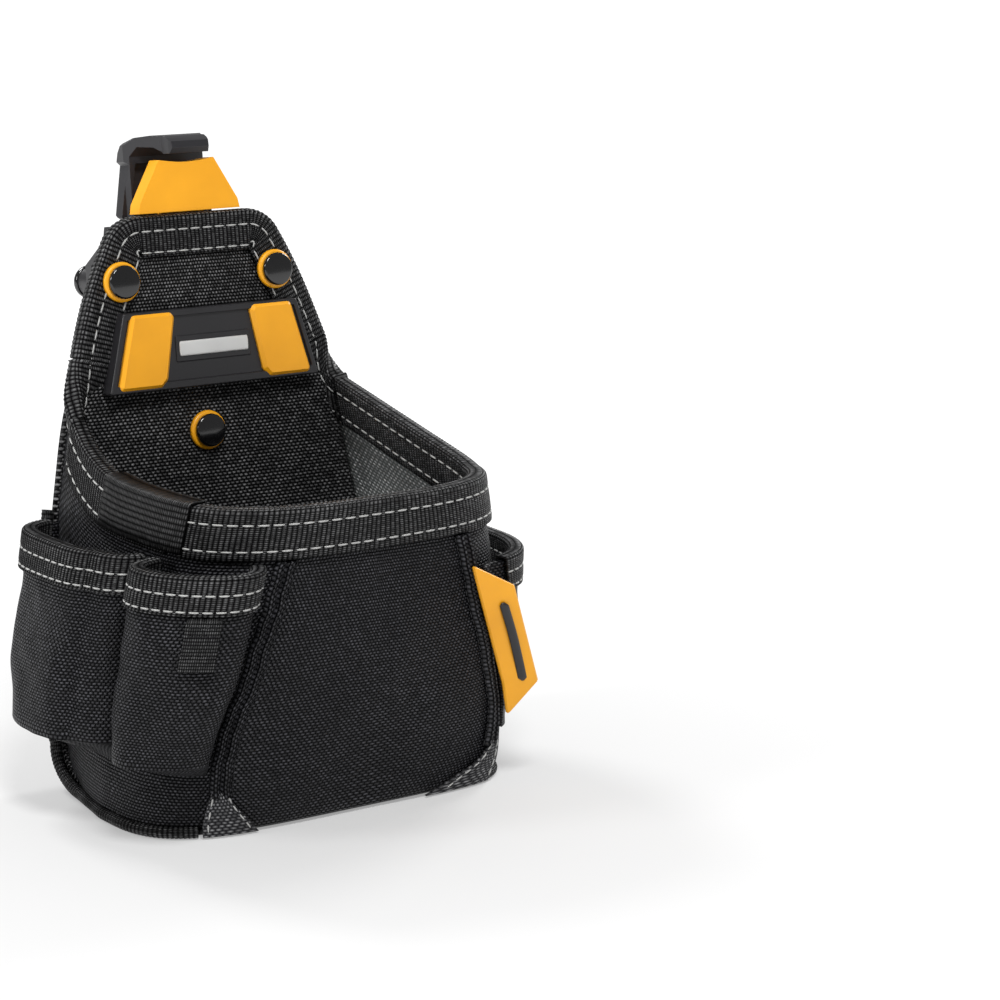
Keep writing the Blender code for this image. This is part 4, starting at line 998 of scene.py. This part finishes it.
# ---- hardware ----
def refined(node, look, width, body=POUCH, segments=3):
    """The CAD node's own shape with its edges rounded, or chamfered with one segment."""
    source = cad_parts[node].data
    mesh = bpy.data.meshes.new(node + "_moulded")
    mesh.from_pydata([tuple(v.co) for v in source.vertices], [], [tuple(p.vertices) for p in source.polygons])
    finish_mesh(mesh, merge=True)
    mesh.materials.append(look)
    item = linked(node + "_moulded", mesh)
    bevel = item.modifiers.new("edges", "BEVEL")
    bevel.width = width * MM
    bevel.segments = segments
    bevel.limit_method = "ANGLE"
    bevel.angle_limit = math.radians(28)
    bevel.miter_outer = "MITER_ARC"
    if segments == 1:
        bpy.context.view_layer.update()
        baked = bpy.data.meshes.new_from_object(item.evaluated_get(bpy.context.evaluated_depsgraph_get()))
        baked.name = node + "_chamfered"
        item.modifiers.clear()
        item.data = baked
        baked.set_sharp_from_angle(angle=math.radians(24))
    item.modifiers.new("normals", "WEIGHTED_NORMAL").keep_sharp = True
    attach(item, body)
    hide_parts(node)


def lathe(name, x, height, profile, look, steps=56, **kept):
    """A turned piece about the panel's depth axis; profile is (radius, depth), closed on the axis."""
    verts, faces, rows = [], [], []
    for radius, depth in profile:
        row = []
        for step in range(steps if radius > 0 else 1):
            angle = 2 * math.pi * step / steps
            row.append(len(verts))
            verts.append(panel_point(x + radius * math.cos(angle), depth, height + radius * math.sin(angle)))
        rows.append(row)
    for one, two in zip(rows, rows[1:]):
        for step in range(steps):
            after = (step + 1) % steps
            corners = [one[step % len(one)], one[after % len(one)], two[after % len(two)], two[step % len(two)]]
            unique = list(dict.fromkeys(corners))
            if len(unique) > 2:
                faces.append(tuple(unique))
    build(name, verts, faces, [look], **kept)


def rounded_profile(radius, back, front, edge=1.0, steps=6):
    """A cap's profile: straight sides, a rounded edge and a faint crown."""
    sign = 1 if front < back else -1
    crown = 0.35 * sign
    points = [(0.0, back), (radius - 0.35, back), (radius, back - 0.35 * sign)]
    for step in range(steps + 1):
        angle = math.pi / 2 * step / steps
        points.append((radius - edge + edge * math.cos(angle), front + crown + sign * edge * (1 - math.sin(angle))))
    inner = radius - edge
    points += [(inner * (1 - share), front + crown * (1 - share) ** 2) for share in (0.15, 0.35, 0.6, 0.8)]
    points.append((0.0, front))
    return points


def make_rivets():
    seat_tape = -(TAPE_GAP + TAPE)
    for side, x, height, seat, rear, thick in (("left", -TOP_RIVET_X, TOP_RIVET_Z, seat_tape, 24.35, 3.6),
                                               ("right", TOP_RIVET_X, TOP_RIVET_Z, seat_tape, 24.35, 3.6),
                                               ("lower", 0.0, 0.0, 0.0, 10.15, 2.1)):
        front = seat - 0.35 - 1.9
        cap_back = front - 0.1
        washer = [(0, seat - 0.2), (WASHER_RADIUS, seat - 0.2), (WASHER_RADIUS, front + 1.0),
                  (WASHER_RADIUS - 0.2, front + 0.45), (WASHER_RADIUS - 0.8, front + 0.05),
                  (CAP_RADIUS - 0.5, front), (0, front)]
        for name, ending, profile, look in (
                ("rivet_washer_", "_ring", washer, YELLOW),
                ("rivet_cap_", "_dome", rounded_profile(CAP_RADIUS, cap_back, cap_back - 2.7), LACQUER),
                ("rivet_rear_cap_", "_dome", rounded_profile(CAP_RADIUS, rear, rear + thick), LACQUER)):
            lathe(name + side + ending, x, height, profile, look, nodes=(name + side,))


def bar(name, one, two, size, look):
    """A rounded bar between two points of the panel frame; size is (depth, height)."""
    section = []
    for k in range(16):
        angle = 2 * math.pi * k / 16
        c, s = math.cos(angle), math.sin(angle)
        section.append((math.copysign(abs(c) ** 0.6, c) * size[0] / 2,
                        math.copysign(abs(s) ** 0.6, s) * size[1] / 2))
    rings, uvs = [], []
    for t, swell in ((0.0, 0.55), (0.006, 0.9), (0.015, 1.0), (0.985, 1.0), (0.994, 0.9), (1.0, 0.55)):
        place = [a + (b - a) * t for a, b in zip(one, two)]
        rings.append([panel_point(place[0], place[1] + d * swell, place[2] + h * swell) for d, h in section])
        uvs.append([(0.0, 0.0)] * 16)
    lofted(name, rings, look, uvs)


def slab(name, outline, back, front, bevel, look, hollow=None, steps=4, **kept):
    """A convex plate of the panel frame with rounded corners and front edges, maybe hollowed in front.

    outline is (x, height) corners in order; hollow is (corners, depth).
    """
    radius = bevel * 1.4

    def ring(corners, inset, depth):
        points = []
        for k, corner in enumerate(corners):
            here, before, after = Vector(corner), Vector(corners[k - 1]), Vector(corners[(k + 1) % len(corners)])
            ways = [(before - here).normalized(), (after - here).normalized()]
            half = math.acos(max(-1, min(1, ways[0].dot(ways[1])))) / 2
            heart = here + (ways[0] + ways[1]).normalized() * radius / math.sin(half)
            start, end = (here + way * radius / math.tan(half) - heart for way in ways)
            for step in range(7):
                point = heart + start.lerp(end, step / 6).normalized() * max(radius - inset, 0.02)
                points.append(panel_point(point.x, depth, point.y))
        return points
    rings = [ring(outline, 0.0, back)]
    for turn in even(0, math.pi / 2, steps):
        rings.append(ring(outline, bevel * (1 - math.cos(turn)), front + bevel * (1 - math.sin(turn))))
    if hollow:
        corners, depth = hollow
        rings += [ring(corners, inset, level) for inset, level in ((0, front), (0.2, front + 0.25), (0.25, depth))]
    item = lofted(name, rings, look, **kept)
    item.data.set_sharp_from_angle(angle=math.radians(32))
    item.modifiers.new("normals", "WEIGHTED_NORMAL").keep_sharp = True


def make_badge():
    def half(height, trim=0.0):
        share = (height - BADGE_FOOT) / (BADGE_HEAD - BADGE_FOOT)
        return BADGE_HALF_FOOT + (BADGE_HALF_HEAD - BADGE_HALF_FOOT) * share - trim

    def tapered(low, high, trim=0.0):
        return [(BADGE_X + side * half(height, trim), height)
                for side, height in ((-1, low), (1, low), (1, high), (-1, high))]
    hollow = tapered(BADGE_FOOT + 3.2, BADGE_HEAD - 2.6, 2.0)
    slab("badge_plate_body", tapered(BADGE_FOOT, BADGE_HEAD), -1.0, -(BADGE_FACE + 0.9), 0.7, BLACK_PLASTIC,
         (hollow, -(BADGE_FACE - 0.4)), nodes=("badge_plate",))
    for side in (-1, 1):
        name = "badge_wing_" + SIDE_NAME[side]
        wing = [(BADGE_X + side * x, height) for x, height in (
            (half(21.0, 3.6), 21.0), (half(53.2, 3.6), 53.2), (20.4, 53.2), (18.8, 50.8), (23.8, 24.4), (27.0, 21.0))]
        slab(name + "_body", wing, -(BADGE_FACE - 1.5), -9.8, 1.5, YELLOW, steps=1, nodes=(name,))
    inlay = [(BADGE_X + x, height) for x, height in ((-18.5, 31.2), (18.5, 31.2), (18.5, 42.6), (-18.5, 42.6))]
    slab("badge_inlay_body", inlay, -5.0, -(BADGE_FACE + 0.2), 0.5, BLACK_PLASTIC, nodes=("badge_inlay",))
    ends = [(BADGE_X + x, -(BADGE_FACE + 0.4), 36.9) for x in (-17, 17)]
    bar("badge_strip", *ends, (1.0, 6.4), PALE)


def make_tag_bar():
    """A plain raised bar down the side tag's face."""
    run = Vector((math.cos(TAG_TURN), math.sin(TAG_TURN), 0))
    out = Vector((run.y, -run.x, 0))
    rings, uvs = [], []
    for share in even(0, 1, 28):
        z = TAG_BAR[0] + (TAG_BAR[1] - TAG_BAR[0]) * share
        station = seam_station(z, 1)
        slant = 1.5 - 4.0 * (z - 32) / 71.5
        heart = (around(station, z) + outward(station, z) * TAG_STAND + run * (slant + TAG_WIDTH * 0.56)
                 + out * TAG_THICK)
        swell = min(1, (min(share, 1 - share) / 0.035 + 0.1)) ** 0.5
        rings.append([heart + run * (2.1 * swell * math.cos(turn)) + out * (0.75 * swell * math.sin(turn))
                      for turn in [math.pi * k / 6 for k in range(12)]])
        uvs.append([(z, k) for k in range(12)])
    lofted("side_tag_bar", rings, BLACK_PLASTIC, uvs)


def make_hardware():
    make_tag_bar()
    make_badge()
    make_rivets()
    refined("release_lever", YELLOW, 1.8, LEVER, segments=1)
    refined("lift_hook", HOOK_PLASTIC, 1.4)
    refined("receiver_housing", BLACK_PLASTIC, 0.5, segments=2)
    refined("backing_board", BLACK_PLASTIC, 0.4, segments=2)
    refined("side_tag", YELLOW, 0.7, segments=1)
    for node in ("lever_pin", "lever_spring"):
        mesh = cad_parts[node].data
        mesh.materials.clear()
        mesh.materials.append(STEEL)


make_edge_binding()
make_rim()
for number, one in enumerate((LEFT_REAR_POCKET, LEFT_FRONT_POCKET, RIGHT_POCKET)):
    make_pocket(one, 21 + 9 * number)
make_loop()
make_hardware()
